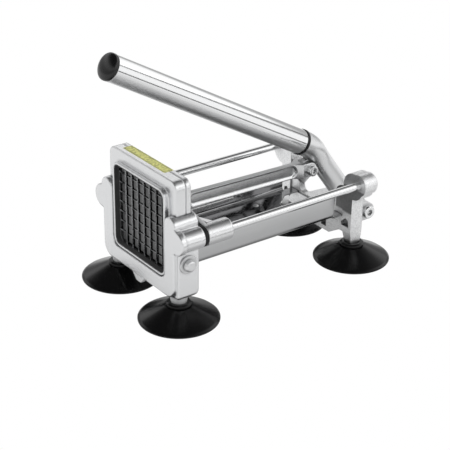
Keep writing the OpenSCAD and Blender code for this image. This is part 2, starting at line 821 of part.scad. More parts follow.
module tray() color(steel_grey) frame() difference() {
    union() {
        along_y(tray_front, tray_rear) tray_section();
        // Straps whose ends stand in slots of the rear frame
        both() translate([strap_in, tray_rear - notch_step, tray_bottom])
            cube([strap_out - strap_in - tray_r, tray_end - tray_rear + notch_step, tray_t]);
        both() translate([strap_in, tray_rear, tray_bottom])
            cube([strap_out - strap_in, tray_end - tray_rear, tray_t]);
        // Tab bent down behind the flange of the front bracket
        translate([-front_tab_half, tray_front, tray_bottom - front_tab_drop])
            cube([2 * front_tab_half, tray_t, front_tab_drop + tray_t]);
    }
    // Notch in the rear edge of the floor
    translate([0, 0, tray_bottom - over]) linear_extrude(tray_t + 2 * over) polygon([
        [-strap_in, tray_end + over], [-strap_in, tray_rear - notch_step],
        [-notch_narrow, tray_rear - notch_depth], [notch_narrow, tray_rear - notch_depth],
        [strap_in, tray_rear - notch_step], [strap_in, tray_end + over]
    ]);
    both() translate([brace_x, brace_y, tray_bottom - over])
        cylinder(h = tray_t + 2 * over, r = rivet_r + fit);
    both() rod_y(front_rivet_x, front_rivet_z, rivet_r + fit, tray_front - over, tray_front + 2 * tray_t);
}

// Flat strip under the floor that keeps the sheet stiff
module tray_brace() color(steel_grey) frame() difference() {
    translate([-brace_half, brace_y - brace_w / 2, tray_bottom - tray_t - lap_gap])
        cube([2 * brace_half, brace_w, tray_t]);
    both() translate([brace_x, brace_y, tray_bottom - 2 * tray_t - over])
        cylinder(h = 2 * tray_t + 2 * over, r = rivet_r + fit);
}

// Rivet with a low domed head at its end, along Z from the origin down
module rivet(len) {
    translate([0, 0, -len]) cylinder(h = len, r = rivet_r);
    rotate_extrude() intersection() {
        cap = (rivet_head_r ^ 2 + rivet_head_h ^ 2) / (2 * rivet_head_h);
        translate([0, rivet_head_h - cap]) circle(cap);
        square([rivet_head_r, rivet_head_h]);
    }
}

module tray_rivets() color(steel_grey) frame() {
    both() translate([brace_x, brace_y, tray_floor]) rivet(2 * tray_t + lap_gap);
    both() translate([front_rivet_x, tray_front + tray_t, front_rivet_z])
        rotate([-90, 0, 0]) rivet(tray_t + seat_gap + flange_t * 0.8);
}

// Stud moulded into the rubber and screwed up into the casting
module cup_stud(gap) {
    translate([0, 0, stud_bottom - gap])
        cylinder(h = stud_top - stud_bottom + gap - lap_gap, r = stud_r + gap);
    translate([0, 0, stud_bottom - gap])
        cylinder(h = stud_head_h + 2 * gap, r = stud_head_r + gap);
}

// Soft cup with a thin skirt, a hollow below and a collar round the post
module suction_cup(x, y) color(rubber_black) frame() translate([x, y, 0]) difference() {
    rotate_extrude() difference() {
        collar_foot = cup_h - collar_h;
        union() {
            polygon([
                [0, 0], [cup_r, 0], [cup_r, cup_edge], [cup_r - cup_edge, cup_edge * 2],
                [(cup_r + collar_r) / 2, collar_foot * 0.58],
                [collar_r + cup_edge, collar_foot], [0, collar_foot]
            ]);
            translate([0, collar_foot - over]) square([collar_r - groove, over + groove]);
            translate([0, collar_foot + groove]) square([collar_r, collar_h - groove]);
        }
        polygon([
            [0, -over], [rim_in, -over], [rim_in, 0],
            [(rim_in + hollow_top_r) / 2, hollow_top * 0.62],
            [hollow_top_r, hollow_top], [0, hollow_top]
        ]);
    }
    translate([0, 0, post_end - lap_gap]) cylinder(h = cup_h, r = post_r + lap_gap);
    cup_stud(fit);
}

module suction_cup_front_left() suction_cup(-foot_x, foot_front_y);

module suction_cup_front_right() suction_cup(foot_x, foot_front_y);

module suction_cup_rear_left() suction_cup(-foot_x, foot_rear_y);

module suction_cup_rear_right() suction_cup(foot_x, foot_rear_y);

module cup_studs() color(steel_grey) frame()
    for (y = [foot_front_y, foot_rear_y]) both() translate([foot_x, y, 0]) cup_stud(0);

// Cap screw along X: its head starts at x and its shank runs to x_end
module cap_screw(y, z, r, head_r, head_h, socket_r, x, x_end) {
    rod_x_at(y, z, r, x_end, x);
    difference() {
        rod_x_at(y, z, head_r, x, x + head_h);
        hex_x(y, z, socket_r, x + head_h * (1 - socket_depth_share), x + head_h + over);
    }
}

// Nut along X between x0 and x1
module nut(y, z, r, bore_r, x0, x1) {
    difference() {
        hex_x(y, z, r, x0, x1);
        rod_x_at(y, z, bore_r + fit, x0 - over, x1 + over);
    }
}

module pivot_bolt() color(steel_grey) frame()
    cap_screw(
        pivot_y, pivot_z, pivot_r, pivot_head_r, pivot_head_h, pivot_socket_r,
        ear_out, -ear_out - pivot_nut_h
    );

module pivot_nut() color(steel_grey) frame()
    nut(pivot_y, pivot_z, pivot_head_r * 1.1, pivot_r, -ear_out - pivot_nut_h, -ear_out);

module pivot_washers() color(steel_grey) frame() both() difference() {
    rod_x_at(pivot_y, pivot_z, ear_r - over, hub_len / 2 + lap_gap, ear_in);
    rod_x_at(pivot_y, pivot_z, pivot_r + fit, hub_len / 2 - over, ear_in + over);
}

// Row of tapered teeth over a base, as an outline in X and Y
module comb() {
    translate([-block_half, pin_root_y]) square([2 * block_half, block_base]);
    for (i = [0 : cells - 1])
        translate([blade_at(i + 0.5), 0]) polygon([
            [-pin_tip / 2, pin_tip_y], [pin_tip / 2, pin_tip_y],
            [pin_root / 2, pin_root_y], [pin_root / 2, pin_root_y + block_base / 2],
            [-pin_root / 2, pin_root_y + block_base / 2], [-pin_root / 2, pin_root_y]
        ]);
}

// Places of the screws that hold the pin block
module at_pusher_screws() {
    for (sx = [-1, 1], sz = [-1, 1])
        translate([sx * pusher_screw_at, 0, grid_z + sz * pusher_screw_at]) children();
}

module pin_block() color(rubber_black) frame() difference() {
    intersection() {
        translate([0, 0, grid_z - block_half]) linear_extrude(2 * block_half) comb();
        translate([0, 0, grid_z]) rotate([0, 90, 0])
            translate([0, 0, -block_half]) linear_extrude(2 * block_half) comb();
        along_y(pin_tip_y - over, pusher_y)
            translate([0, grid_z]) rounded(2 * block_half, 2 * block_half, block_r);
    }
    at_pusher_screws() rod_y(
        0, 0, pusher_screw_d / 2 + fit, pusher_y - pusher_screw_tail - lap_gap, pusher_y + over
    );
}

module pusher_screws() color(steel_grey) frame() at_pusher_screws() {
    rod_y(0, 0, pusher_screw_d / 2, pusher_y - pusher_screw_tail, pusher_rear);
    difference() {
        rod_y(0, 0, pusher_screw_head_r, pusher_rear, pusher_rear + pusher_screw_head_h);
        translate([0, pusher_rear + pusher_screw_head_h / 2, 0]) rotate([-90, 0, 0])
            cylinder(h = pusher_screw_head_h, r = pusher_screw_head_r / 2, $fn = 6);
    }
}

// Arm from the pusher plate to a sleeve
module pusher_arm_outline() {
    polygon([
        [pusher_half - arm_inset, grid_z - arm_low], [rod_x, grid_z - arm_low],
        [rod_x, grid_z + arm_low], [rod_x - sleeve_r, grid_z + arm_high],
        [pusher_half - arm_inset, grid_z + arm_root_high]
    ]);
}

// Slanted web behind the arm, seen from above
module pusher_web_outline() {
    polygon([
        [pusher_half - arm_inset, pusher_rear - over], [rod_x, pusher_rear - over],
        [rod_x, sleeve_rear - sleeve_len * 0.15], [rod_x - sleeve_r * 0.7, sleeve_rear - sleeve_len * 0.3],
        [pusher_half - arm_inset, pusher_rear + arm_thick]
    ]);
}

// Side view of a clevis cheek
module cheek_side() {
    translate([pusher_rear - over, cheek_floor])
        square([clevis_y - pusher_rear + over, cheek_top - cheek_floor]);
    translate([clevis_y, cheek_floor])
        square([eye_r, clevis_z - cheek_floor]);
    translate([clevis_y, clevis_z]) circle(eye_r);
}

// Slot for the clevis pin, flared towards its open top
module pin_slot() {
    rise = cheek_top + over - clevis_z;
    translate([clevis_y, clevis_z]) {
        circle(slot_r);
        polygon([
            [-slot_r, 0], [slot_r, 0],
            [slot_r + rise * slot_flare_rear_share, rise], [-slot_r - rise * slot_flare_front_share, rise]
        ]);
    }
}

module pusher_carriage() color(cast_grey) frame() difference() {
    union() {
        along_y(pusher_y, pusher_rear)
            translate([0, grid_z]) rounded(2 * pusher_half, 2 * pusher_half, block_r - seat_gap);
        both() along_y(sleeve_y, sleeve_y + arm_thick) pusher_arm_outline();
        both() translate([0, 0, grid_z - web_half]) linear_extrude(2 * web_half) pusher_web_outline();
        both() {
            rod_y(rod_x, grid_z, sleeve_r, sleeve_y, sleeve_rear - sleeve_bevel);
            translate([rod_x, sleeve_rear - sleeve_bevel, grid_z]) rotate([-90, 0, 0])
                cylinder(h = sleeve_bevel, r1 = sleeve_r, r2 = sleeve_r - sleeve_bevel);
        }
        both() along_x(cheek_in, cheek_out) cheek_side();
        translate([-cheek_out, pusher_rear - over, cheek_floor])
            cube([2 * cheek_out, cheek_rear - pusher_rear + over, cheek_floor_t / 2]);
        along_x(-tail_t / 2, tail_t / 2) polygon([
            [pusher_rear - over, cheek_floor - tail_root_h], [pusher_rear + tail_len, tail_top - tail_end_h],
            [pusher_rear + tail_len, tail_top], [pusher_rear - over, tail_top]
        ]);
    }
    both() along_x(cheek_in - over, cheek_out + over) pin_slot();
    both() rod_y(rod_x, grid_z, bush_r + fit, sleeve_y - over, sleeve_rear + over);
    at_pusher_screws() rod_y(0, 0, pusher_screw_d / 2 + fit, pusher_y - over, pusher_rear + over);
}

module sleeve_bush() color(rubber_black) frame() difference() {
    rod_y(rod_x, grid_z, bush_r, sleeve_y + lap_gap, sleeve_rear - lap_gap);
    rod_y(rod_x, grid_z, rod_r + fit, sleeve_y - over, sleeve_rear + over);
}

module sleeve_bush_right() sleeve_bush();

module sleeve_bush_left() mirror([1, 0, 0]) sleeve_bush();

// Puts the link along its line: local Y runs from the bolt towards the clevis pin
module link_frame() {
    translate([0, bolt_y, bolt_z]) rotate([-link_tilt, 0, 0]) children();
}

// Plan of the rear end of the link, which widens into the fork
module fork_plan() {
    polygon([
        [-fork_out, fork_eye_r], [-fork_out, -fork_len], [-link_t / 2, -fork_len - fork_blend],
        [link_t / 2, -fork_len - fork_blend], [fork_out, -fork_len], [fork_out, fork_eye_r]
    ]);
}

// Side view of the link without its web recess
module link_side() {
    translate([-link_len, 0]) circle(eye_r);
    circle(fork_eye_r);
    polygon([
        [-link_len, -eye_r], [0, -fork_eye_r], [0, fork_eye_r], [-link_len, eye_r]
    ]);
}

module link_bar() color(steel_grey) frame() link_frame() difference() {
    union() {
        along_x(-link_t / 2, link_t / 2) difference() {
            link_side();
            translate([-fork_len - over, -link_h]) square([2 * fork_len, 2 * link_h]);
        }
        intersection() {
            along_x(-fork_out, fork_out) link_side();
            translate([0, 0, -link_h]) linear_extrude(2 * link_h) fork_plan();
        }
    }
    // Web recess on both sides, between the flanges
    web_start = -link_len + eye_r + link_flange;
    web_stop = -fork_slot_r - link_flange * 1.4;
    web_end_r = eye_r - link_flange;
    for (sx = [0, 1]) mirror([sx, 0, 0]) along_x(link_web / 2, link_t) {
        translate([web_start + web_end_r, -web_end_r])
            square([web_stop - web_start - 2 * web_end_r, 2 * web_end_r]);
        translate([web_start + web_end_r, 0]) circle(web_end_r);
        translate([web_stop - web_end_r, 0]) circle(web_end_r);
    }
    // Slot for the lug of the lever, with a round end
    along_x(-fork_in, fork_in) {
        circle(fork_slot_r);
        translate([0, -fork_slot_r]) square([2 * fork_eye_r, 2 * fork_slot_r]);
    }
    rod_x_at(0, 0, link_bolt_r + fit, -fork_out - over, fork_out + over);
    rod_x_at(-link_len, 0, clevis_pin_r + fit, -link_t, link_t);
}

module clevis_pin() color(steel_grey) frame()
    rod_x_at(clevis_y, clevis_z, clevis_pin_r, -cheek_out - seat_gap - clip_t, cheek_out + seat_gap + clip_t);

module clevis_clips() color(steel_grey) frame() both() difference() {
    rod_x_at(clevis_y, clevis_z, pin_head_r, cheek_out + seat_gap, cheek_out + seat_gap + clip_t);
    rod_x_at(clevis_y, clevis_z, clevis_pin_r + fit, cheek_out, cheek_out + seat_gap + 2 * clip_t);
}

module link_bolt() color(steel_grey) frame()
    cap_screw(
        bolt_y, bolt_z, link_bolt_r, bolt_head_r, bolt_head_h, bolt_socket_r,
        fork_out, -fork_out - bolt_nut_h
    );

module link_nut() color(steel_grey) frame()
    nut(bolt_y, bolt_z, bolt_head_r, link_bolt_r, -fork_out - bolt_nut_h, -fork_out);

// Local Z runs from the pivot along the arm to the elbow, local -Y to the front
module arm_frame() {
    translate([0, pivot_y, pivot_z]) rotate([arm_lean, 0, 0]) children();
}

// Local Z runs from the elbow along the handle
module handle_frame() {
    translate([0, elbow_y, elbow_z]) rotate([90 - handle_rise, 0, 0]) children();
}

// Side view of the shallow recess in the flank of the arm
module recess_outline() {
    translate([-recess_w / 2, recess_start]) square([recess_w, recess_stop - recess_start]);
    translate([0, recess_start]) circle(recess_w / 2);
    translate([0, recess_stop]) circle(recess_w / 2);
}

module lever_arm() color(cast_grey) frame() difference() {
    union() {
        arm_frame() difference() {
            linear_extrude(arm_len) rounded(arm_t, arm_w, arm_edge_r);
            both() along_x(arm_t / 2 - recess_depth, arm_t) recess_outline();
            // Room for the cheeks of the link fork
            both() rod_x_at(-lug_front, lug_along, fork_eye_r + eye_gap, tongue_t / 2, arm_t);
        }
        arm_frame() along_x(-tongue_t / 2, tongue_t / 2) {
            translate([-lug_front, lug_along]) circle(tongue_r);
            polygon([
                [-lug_front, lug_along - tongue_r], [0, lug_along - tongue_r * 1.4],
                [0, lug_along + tongue_r], [-lug_front, lug_along + tongue_r]
            ]);
        }
        rod_x_at(pivot_y, pivot_z, hub_r, -hub_len / 2, hub_len / 2);
        // Round elbow, neck and the spigot that stands in the tube
        handle_frame() rotate_extrude() {
            square([neck_r_out, neck_len]);
            square([spigot_r, tube_start + spigot_len]);
            intersection() {
                circle(neck_r_out);
                translate([0, -neck_r_out]) square([neck_r_out, 2 * neck_r_out]);
            }
        }
    }
    rod_x_at(pivot_y, pivot_z, hub_bush_r + fit, -hub_len, hub_len);
    rod_x_at(bolt_y, bolt_z, link_bolt_r + fit, -arm_t, arm_t);
}

module hub_bush() color(rubber_black) frame() difference() {
    rod_x_at(pivot_y, pivot_z, hub_bush_r, -hub_len / 2, hub_len / 2);
    rod_x_at(pivot_y, pivot_z, pivot_r + fit, -hub_len, hub_len);
}

module handle_tube() color(steel_grey) frame() handle_frame() difference() {
    translate([0, 0, tube_start]) cylinder(h = tube_len, r = tube_r);
    translate([0, 0, tube_start - over]) cylinder(h = tube_len + 2 * over, r = tube_r - tube_wall);
}

module handle_gasket() color(rubber_black) frame() handle_frame() difference() {
    translate([0, 0, neck_len]) cylinder(h = gasket_t, r = gasket_r);
    cylinder(h = 2 * tube_start, r = spigot_r + fit);
}

module end_cap() color(rubber_black) frame() handle_frame() {
    translate([0, 0, tube_stop - cap_plug_len]) cylinder(h = cap_plug_len + over, r = spigot_r);
    translate([0, 0, tube_stop]) cylinder(h = cap_len, r = cap_r);
    translate([0, 0, tube_stop + cap_len]) rotate_extrude() intersection() {
        translate([0, dome_h - dome_r]) circle(dome_r);
        square([cap_r, dome_h]);
    }
}

front_bracket();
cassette_frame();
cassette_cover();
window_liner();
vertical_blades();
horizontal_blades();
cassette_screws();
lock_screws();
lock_washers();
guide_rod_left();
guide_rod_right();
bumper_left();
bumper_right();
rear_frame();
tray();
tray_brace();
tray_rivets();
suction_cup_front_left();
suction_cup_front_right();
suction_cup_rear_left();
suction_cup_rear_right();
cup_studs();
pivot_bolt();
pivot_nut();
pivot_washers();
pusher_carriage();
pin_block();
pusher_screws();
sleeve_bush_left();
sleeve_bush_right();
link_bar();
clevis_pin();
clevis_clips();
link_bolt();
link_nut();
lever_arm();
hub_bush();
handle_tube();
handle_gasket();
end_cap();
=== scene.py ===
import math

import bmesh
import bpy
import numpy as np
from mathutils import Matrix, Vector


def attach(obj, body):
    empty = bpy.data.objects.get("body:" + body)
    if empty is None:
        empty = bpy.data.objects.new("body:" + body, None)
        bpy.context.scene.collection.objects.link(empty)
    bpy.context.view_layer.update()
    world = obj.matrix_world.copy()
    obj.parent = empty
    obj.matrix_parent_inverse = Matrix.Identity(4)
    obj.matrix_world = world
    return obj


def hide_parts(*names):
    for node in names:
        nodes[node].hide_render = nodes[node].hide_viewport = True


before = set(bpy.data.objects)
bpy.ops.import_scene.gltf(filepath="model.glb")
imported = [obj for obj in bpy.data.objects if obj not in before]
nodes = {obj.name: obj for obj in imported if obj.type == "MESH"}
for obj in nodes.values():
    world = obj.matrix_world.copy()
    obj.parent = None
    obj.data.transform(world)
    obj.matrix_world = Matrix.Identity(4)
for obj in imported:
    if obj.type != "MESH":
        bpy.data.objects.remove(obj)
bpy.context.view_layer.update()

# The camera of the photograph: a long lens that looks down on the front right corner.
# Its angles, its place and its lengths in pixels were fitted to the photograph's points.
azimuth, elevation, roll = np.radians([53.36, 26.43, 0.748])
sight = np.array([-math.sin(azimuth) * math.cos(elevation),
                  math.cos(azimuth) * math.cos(elevation), -math.sin(elevation)])
level_right = np.array([math.cos(azimuth), math.sin(azimuth), 0.0])
level_up = np.cross(level_right, sight)
cam_right = level_right * math.cos(roll) + level_up * math.sin(roll)
cam_up = level_up * math.cos(roll) - level_right * math.sin(roll)
photo_width, focal_length, sensor_width = 450, 1297.0, 36.0
camera_data = bpy.data.cameras.new("photo_camera")
camera_data.sensor_width = sensor_width
camera_data.lens = focal_length / photo_width * sensor_width
camera_data.shift_x, camera_data.shift_y = 0.16 / photo_width, -0.78 / photo_width
camera_data.clip_start, camera_data.clip_end = 0.05, 20
camera = bpy.data.objects.new("photo_camera", camera_data)
bpy.context.scene.collection.objects.link(camera)
camera.matrix_world = Matrix([
    [cam_right[0], cam_up[0], -sight[0], 0.8569],
    [cam_right[1], cam_up[1], -sight[1], -0.6551],
    [cam_right[2], cam_up[2], -sight[2], 0.5790],
    [0, 0, 0, 1],
])
bpy.context.scene.camera = camera
bpy.context.scene.view_settings.view_transform = "Standard"


def find_node(tree, kind):
    """The node of a kind that a new tree starts with."""
    return next(node for node in tree.nodes if node.type == kind)


def fresh_material(name):
    """A new node material, its tree and its Principled shader."""
    material = bpy.data.materials.new(name)
    material.use_nodes = True
    return material, material.node_tree, find_node(material.node_tree, "BSDF_PRINCIPLED")


def coordinates(tree, kind="Object"):
    """Texture coordinates: the place on the object, unless another kind is named."""
    return tree.nodes.new("ShaderNodeTexCoord").outputs[kind]


def feed(tree, node, values):
    """Sets the node's inputs {name or number: value}, or links them to sockets."""
    for title, value in values.items():
        if isinstance(value, bpy.types.NodeSocket):
            tree.links.new(value, node.inputs[title])
        else:
            node.inputs[title].default_value = value


def split_axes(tree, vector):
    """Outputs X, Y and Z of a vector."""
    node = tree.nodes.new("ShaderNodeSeparateXYZ")
    tree.links.new(vector, node.inputs[0])
    return node.outputs


def math_node(tree, operation, a, b=0.0, clamp=False):
    """Output of a math node on two values, each a socket or a number."""
    node = tree.nodes.new("ShaderNodeMath")
    node.operation, node.use_clamp = operation, clamp
    feed(tree, node, {0: a, 1: b})
    return node.outputs[0]


def product_sum(tree, *pairs):
    """Sum of the products a * b of the pairs, each a socket or a number."""
    total = None
    for a, b in pairs:
        product = math_node(tree, "MULTIPLY", a, b)
        total = product if total is None else math_node(tree, "ADD", total, product)
    return total


def ramp_node(tree, value, stops):
    """Eased color ramp on a value, with grey stops {place: brightness}."""
    node = tree.nodes.new("ShaderNodeValToRGB")
    ramp = node.color_ramp
    ramp.interpolation = "EASE"
    while len(ramp.elements) < len(stops):
        ramp.elements.new(0.5)
    for element, (place, bright) in zip(ramp.elements, sorted(stops.items())):
        element.position, element.color = place, (bright, bright, bright, 1)
    tree.links.new(value, node.inputs["Fac"])
    return node.outputs["Color"]


# The white table. The camera sees it plain white, as in the photograph. Mirrored rays see
# the shade under the tool, and beside it they pass through to the studio's own table below.
floor_mesh = bpy.data.meshes.new("table")
floor_mesh.from_pydata([(-6, -6, 0), (6, -6, 0), (6, 6, 0), (-6, 6, 0)], [], [(0, 1, 2, 3)])
table = bpy.data.objects.new("table", floor_mesh)
bpy.context.scene.collection.objects.link(table)
white, tree, shader = fresh_material("white_table")
feed(tree, shader, {
    "Base Color": (0.80, 0.80, 0.80, 1), "Roughness": 0.9, "Specular IOR Level": 0.0})
place = split_axes(tree, coordinates(tree))
squares = []
for letter, shade_half in (("X", 0.050), ("Y", 0.105)):
    from_middle = math_node(tree, "ABSOLUTE", place[letter])
    past = math_node(tree, "MAXIMUM", math_node(tree, "SUBTRACT", from_middle, shade_half), 0.0)
    squares.append((past, past))
from_shade = math_node(tree, "SQRT", product_sum(tree, *squares))
clearing = ramp_node(tree, from_shade, {0.0: 0.0, 0.015: 0.45, 0.05: 0.85, 0.11: 1.0})
plain_glow, shade, clear = (tree.nodes.new("ShaderNode" + kind) for kind in (
    "Emission", "Emission", "BsdfTransparent"))
shade.inputs["Strength"].default_value = 0.42
rays = tree.nodes.new("ShaderNodeLightPath").outputs


def mixed(amount, a, b):
    """Mix of two shader outputs of the table, `b` by `amount`."""
    mix = tree.nodes.new("ShaderNodeMixShader")
    feed(tree, mix, {0: amount, 1: a, 2: b})
    return mix.outputs[0]


mirrored = mixed(clearing, shade.outputs[0], clear.outputs[0])
lit = mixed(rays["Is Glossy Ray"], shader.outputs[0], mirrored)
seen = mixed(rays["Is Camera Ray"], lit, plain_glow.outputs[0])
tree.links.new(seen, find_node(tree, "OUTPUT_MATERIAL").inputs["Surface"])
table.data.materials.append(white)


def mix_node(tree, amount, a, b, blend="MIX", kind="RGBA"):
    """Mix of `a` and `b` by `amount`, each a socket, a color or a number."""
    node = tree.nodes.new("ShaderNodeMix")
    node.data_type, node.blend_type = kind, blend
    feed(tree, node, {"Factor": amount, "A": a, "B": b})
    return node.outputs["Result"]


# The studio in the metal: a white table and walls with two thin dark joints on the right,
# a dark ceiling, a soft box high on the right and shade right under the tool. Everything
# that isn't mirrored gets an even fill. Heights run from 0, straight down, to 1, straight
# up, and the right wall stands 37 degrees round from +x towards +y.
world = bpy.data.worlds.new("studio")
bpy.context.scene.world = world
world.use_nodes = True
tree = world.node_tree
x, y, z = split_axes(tree, coordinates(tree, "Generated"))
right_x, right_y = 0.799, 0.602
level = math_node(tree, "SQRT", product_sum(tree, (x, x), (y, y)))
toward_right = math_node(tree, "DIVIDE", product_sum(tree, (x, right_x), (y, right_y)), level)
height = math_node(tree, "ADD", math_node(tree, "MULTIPLY", z, 0.5), 0.5)
left_wall = ramp_node(tree, height, {
    0.0: 0.45, 0.05: 0.50, 0.12: 0.88, 0.30: 0.90, 0.45: 1.05, 0.50: 0.46, 0.62: 0.47,
    0.67: 1.12, 0.74: 1.12, 0.80: 0.20, 0.86: 0.08, 1.0: 0.10})
right_wall = ramp_node(tree, height, {
    0.0: 0.45, 0.04: 0.48, 0.09: 0.52, 0.14: 0.62, 0.19: 0.82, 0.26: 0.84, 0.31: 1.0,
    0.330: 1.06, 0.344: 0.16, 0.384: 0.16, 0.398: 1.12, 0.604: 1.12, 0.614: 0.10, 0.636: 0.10,
    0.646: 1.55, 0.72: 1.50, 0.80: 1.34, 0.885: 0.50, 0.93: 0.18, 1.0: 0.10})
right_share = ramp_node(tree, toward_right, {0.0: 0.0, 0.30: 0.0, 0.78: 1.0, 1.0: 1.0})
room = mix_node(tree, right_share, left_wall, right_wall)
even_fill, plain_white = (0.62, 0.62, 0.62, 1), (1, 1, 1, 1)
rays = tree.nodes.new("ShaderNodeLightPath").outputs
lit = mix_node(tree, rays["Is Glossy Ray"], even_fill, room)
seen = mix_node(tree, rays["Is Camera Ray"], lit, plain_white)
tree.links.new(seen, find_node(tree, "BACKGROUND").inputs["Color"])

# Three soft lamps face the middle of the tool. They light it but aren't seen in the metal.
tool_middle = Vector((0, 0, 0.08))
for name, place, size, power in (
        ("key_box", (-0.85, -1.1, 1.25), (0.8, 0.8), 6),
        ("back_box", (-0.95, 1.0, 0.9), (0.9, 0.6), 5),
        ("right_box", (0.95, 0.85, 0.95), (0.6, 0.6), 6)):
    lamp = bpy.data.lights.new(name, "AREA")
    lamp.shape, lamp.energy = "RECTANGLE", power
    lamp.size, lamp.size_y = size
    thing = bpy.data.objects.new(name, lamp)
    bpy.context.scene.collection.objects.link(thing)
    thing.location = place
    thing.rotation_euler = (tool_middle - Vector(place)).to_track_quat("-Z", "Y").to_euler()
    thing.visible_glossy = False


def noise_node(tree, place, waves, detail=3, rough=0.5):
    """Noise texture over a place, with a number of waves a metre."""
    node = tree.nodes.new("ShaderNodeTexNoise")
    feed(tree, node, {"Vector": place, "Scale": waves, "Detail": detail, "Roughness": rough})
    return node.outputs["Fac"]


def range_node(tree, value, start, end, first, last):
    """Value that goes from `first` to `last` while `value` goes from `start` to `end`."""
    node = tree.nodes.new("ShaderNodeMapRange")
    feed(tree, node, {"Value": value, "From Min": start, "From Max": end, "To Min": first,
                      "To Max": last})
    return node.outputs[0]


# Skin of the metal: a tint with broad soft clouds and fine grain, a roughness that changes
# with the clouds, and a height for the bump. A place stretched along one axis turns the
# grain into drawn or brushed lines.
metal_skin = bpy.data.node_groups.new("metal_skin", "ShaderNodeTree")
for title, kind, value in (
        ("Place", "Vector", (0, 0, 0)), ("Tint", "Color", (0.7, 0.7, 0.7, 1)),
        ("Clouds", "Float", 0.06), ("Grain", "Float", 0.05), ("Fineness", "Float", 1900),
        ("Smoothest", "Float", 0.3), ("Roughest", "Float", 0.42)):
    socket = metal_skin.interface.new_socket(
        title, in_out="INPUT", socket_type="NodeSocket" + kind)
    socket.default_value = value
for title, kind in (("Color", "Color"), ("Roughness", "Float"), ("Height", "Float")):
    metal_skin.interface.new_socket(title, in_out="OUTPUT", socket_type="NodeSocket" + kind)
given = metal_skin.nodes.new("NodeGroupInput").outputs
clouds = noise_node(metal_skin, given["Place"], 45, 2)
grain = noise_node(metal_skin, given["Place"], given["Fineness"], 4, 0.65)
bright = 1.0
for noise, strength in ((clouds, given["Clouds"]), (grain, given["Grain"])):
    off_mean = math_node(metal_skin, "SUBTRACT", noise, 0.5)
    change = math_node(metal_skin, "MULTIPLY", off_mean, strength)
    bright = math_node(metal_skin, "ADD", change, bright)
tinted = metal_skin.nodes.new("ShaderNodeVectorMath")
tinted.operation = "SCALE"
feed(metal_skin, tinted, {0: given["Tint"], "Scale": bright})
polish = range_node(metal_skin, clouds, 0.3, 0.7, given["Smoothest"], given["Roughest"])
feed(metal_skin, metal_skin.nodes.new("NodeGroupOutput"),
     {"Color": tinted.outputs[0], "Roughness": polish, "Height": grain})


def bumped(tree, height, depth, strength, soft_edge=0.0):
    """Normal with heights of up to `depth` metres, and with edges that look rounded at the
    radius `soft_edge`."""
    node = tree.nodes.new("ShaderNodeBump")
    feed(tree, node, {"Height": height, "Distance": depth, "Strength": strength})
    if soft_edge:
        softened = tree.nodes.new("ShaderNodeBevel")
        softened.samples, softened.inputs["Radius"].default_value = 6, soft_edge
        tree.links.new(softened.outputs[0], node.inputs["Normal"])
    return node.outputs["Normal"]


def metal(name, tint, metallic=1.0, bump=0.3, stretch=(1, 1, 1), turn=(0, 0, 0), painted_shade=0.0,
          near=0.005, soft_edge=0.0, **skin_values):
    """Metal with the metal_skin group. `stretch` and `turn` place the grain, and a share of
    painted shade darkens inner corners, recesses and gaps between parts within the distance
    `near`, by the ambient occlusion to the power of 1.6."""
    material, tree, shader = fresh_material(name)
    laid = tree.nodes.new("ShaderNodeMapping")
    feed(tree, laid, {"Vector": coordinates(tree), "Scale": stretch, "Rotation": turn})
    skin = tree.nodes.new("ShaderNodeGroup")
    skin.node_tree = metal_skin
    feed(tree, skin, {"Place": laid.outputs[0], "Tint": (*tint, 1), **skin_values})
    color = skin.outputs["Color"]
    # Painted shade: the ambient occlusion darkens the colour in inner corners and between parts.
    if painted_shade:
        corners = tree.nodes.new("ShaderNodeAmbientOcclusion")
        corners.samples, corners.inputs["Distance"].default_value = 8, near
        openness = math_node(tree, "POWER", corners.outputs["AO"], 1.6)
        color = mix_node(tree, painted_shade, color, openness, "MULTIPLY")
    feed(tree, shader, {
        "Base Color": color, "Metallic": metallic, "Roughness": skin.outputs["Roughness"],
        "Normal": bumped(tree, skin.outputs["Height"], 0.0002, bump, soft_edge)})
    return material


def dark_stuff(name, tint, smoothest, roughest, shine, grain=900, bump=0.25):
    """Rubber or plastic: a dark tint with soft mottling from 0.7 to 1.3 times its value,
    faint clouds in the roughness and a fine bump."""
    material, tree, shader = fresh_material(name)
    place = coordinates(tree)
    darker, lighter = ((*(share * value for value in tint), 1) for share in (0.7, 1.3))
    clouds = noise_node(tree, place, 70)
    feed(tree, shader, {
        "Base Color": mix_node(tree, noise_node(tree, place, 120), darker, lighter),
        "Roughness": range_node(tree, clouds, 0, 1, smoothest, roughest),
        "Specular IOR Level": shine,
        "Normal": bumped(tree, noise_node(tree, place, grain), 0.0001, bump)})
    return material


def finish_piece(thing, material, body, node):
    """Puts the object in the scene with its material, ties it to its body, and hides its CAD
    node if one is given.
    """
    bpy.context.scene.collection.objects.link(thing)
    thing.data.materials.clear()
    thing.data.materials.append(material)
    thing.data.shade_smooth()
    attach(thing, body)
    if node:
        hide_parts(node)
    return thing


def even_shade(thing):
    """Weighted normals, so that flat faces look flat beside their rounded edges."""
    weigh = thing.modifiers.new("shade", "WEIGHTED_NORMAL")
    weigh.mode, weigh.weight, weigh.keep_sharp = "FACE_AREA", 80, True


def patch_widths(solid, turning):
    """Width w of the smooth patch that each face lies in: w = 2 area / rim, where the rim is
    the length of the patch's `turning` edges."""
    width_of = {}
    for start in solid.faces:
        if start in width_of:
            continue
        patch, waiting, area, rim = {start}, [start], 0.0, 1e-9
        while waiting:
            face = waiting.pop()
            area += face.calc_area()
            for edge in face.edges:
                if edge in turning:
                    rim += edge.calc_length()
                    continue
                for other in edge.link_faces:
                    if other not in patch:
                        patch.add(other)
                        waiting.append(other)
        width_of.update(dict.fromkeys(patch, 2 * area / rim))
    return width_of


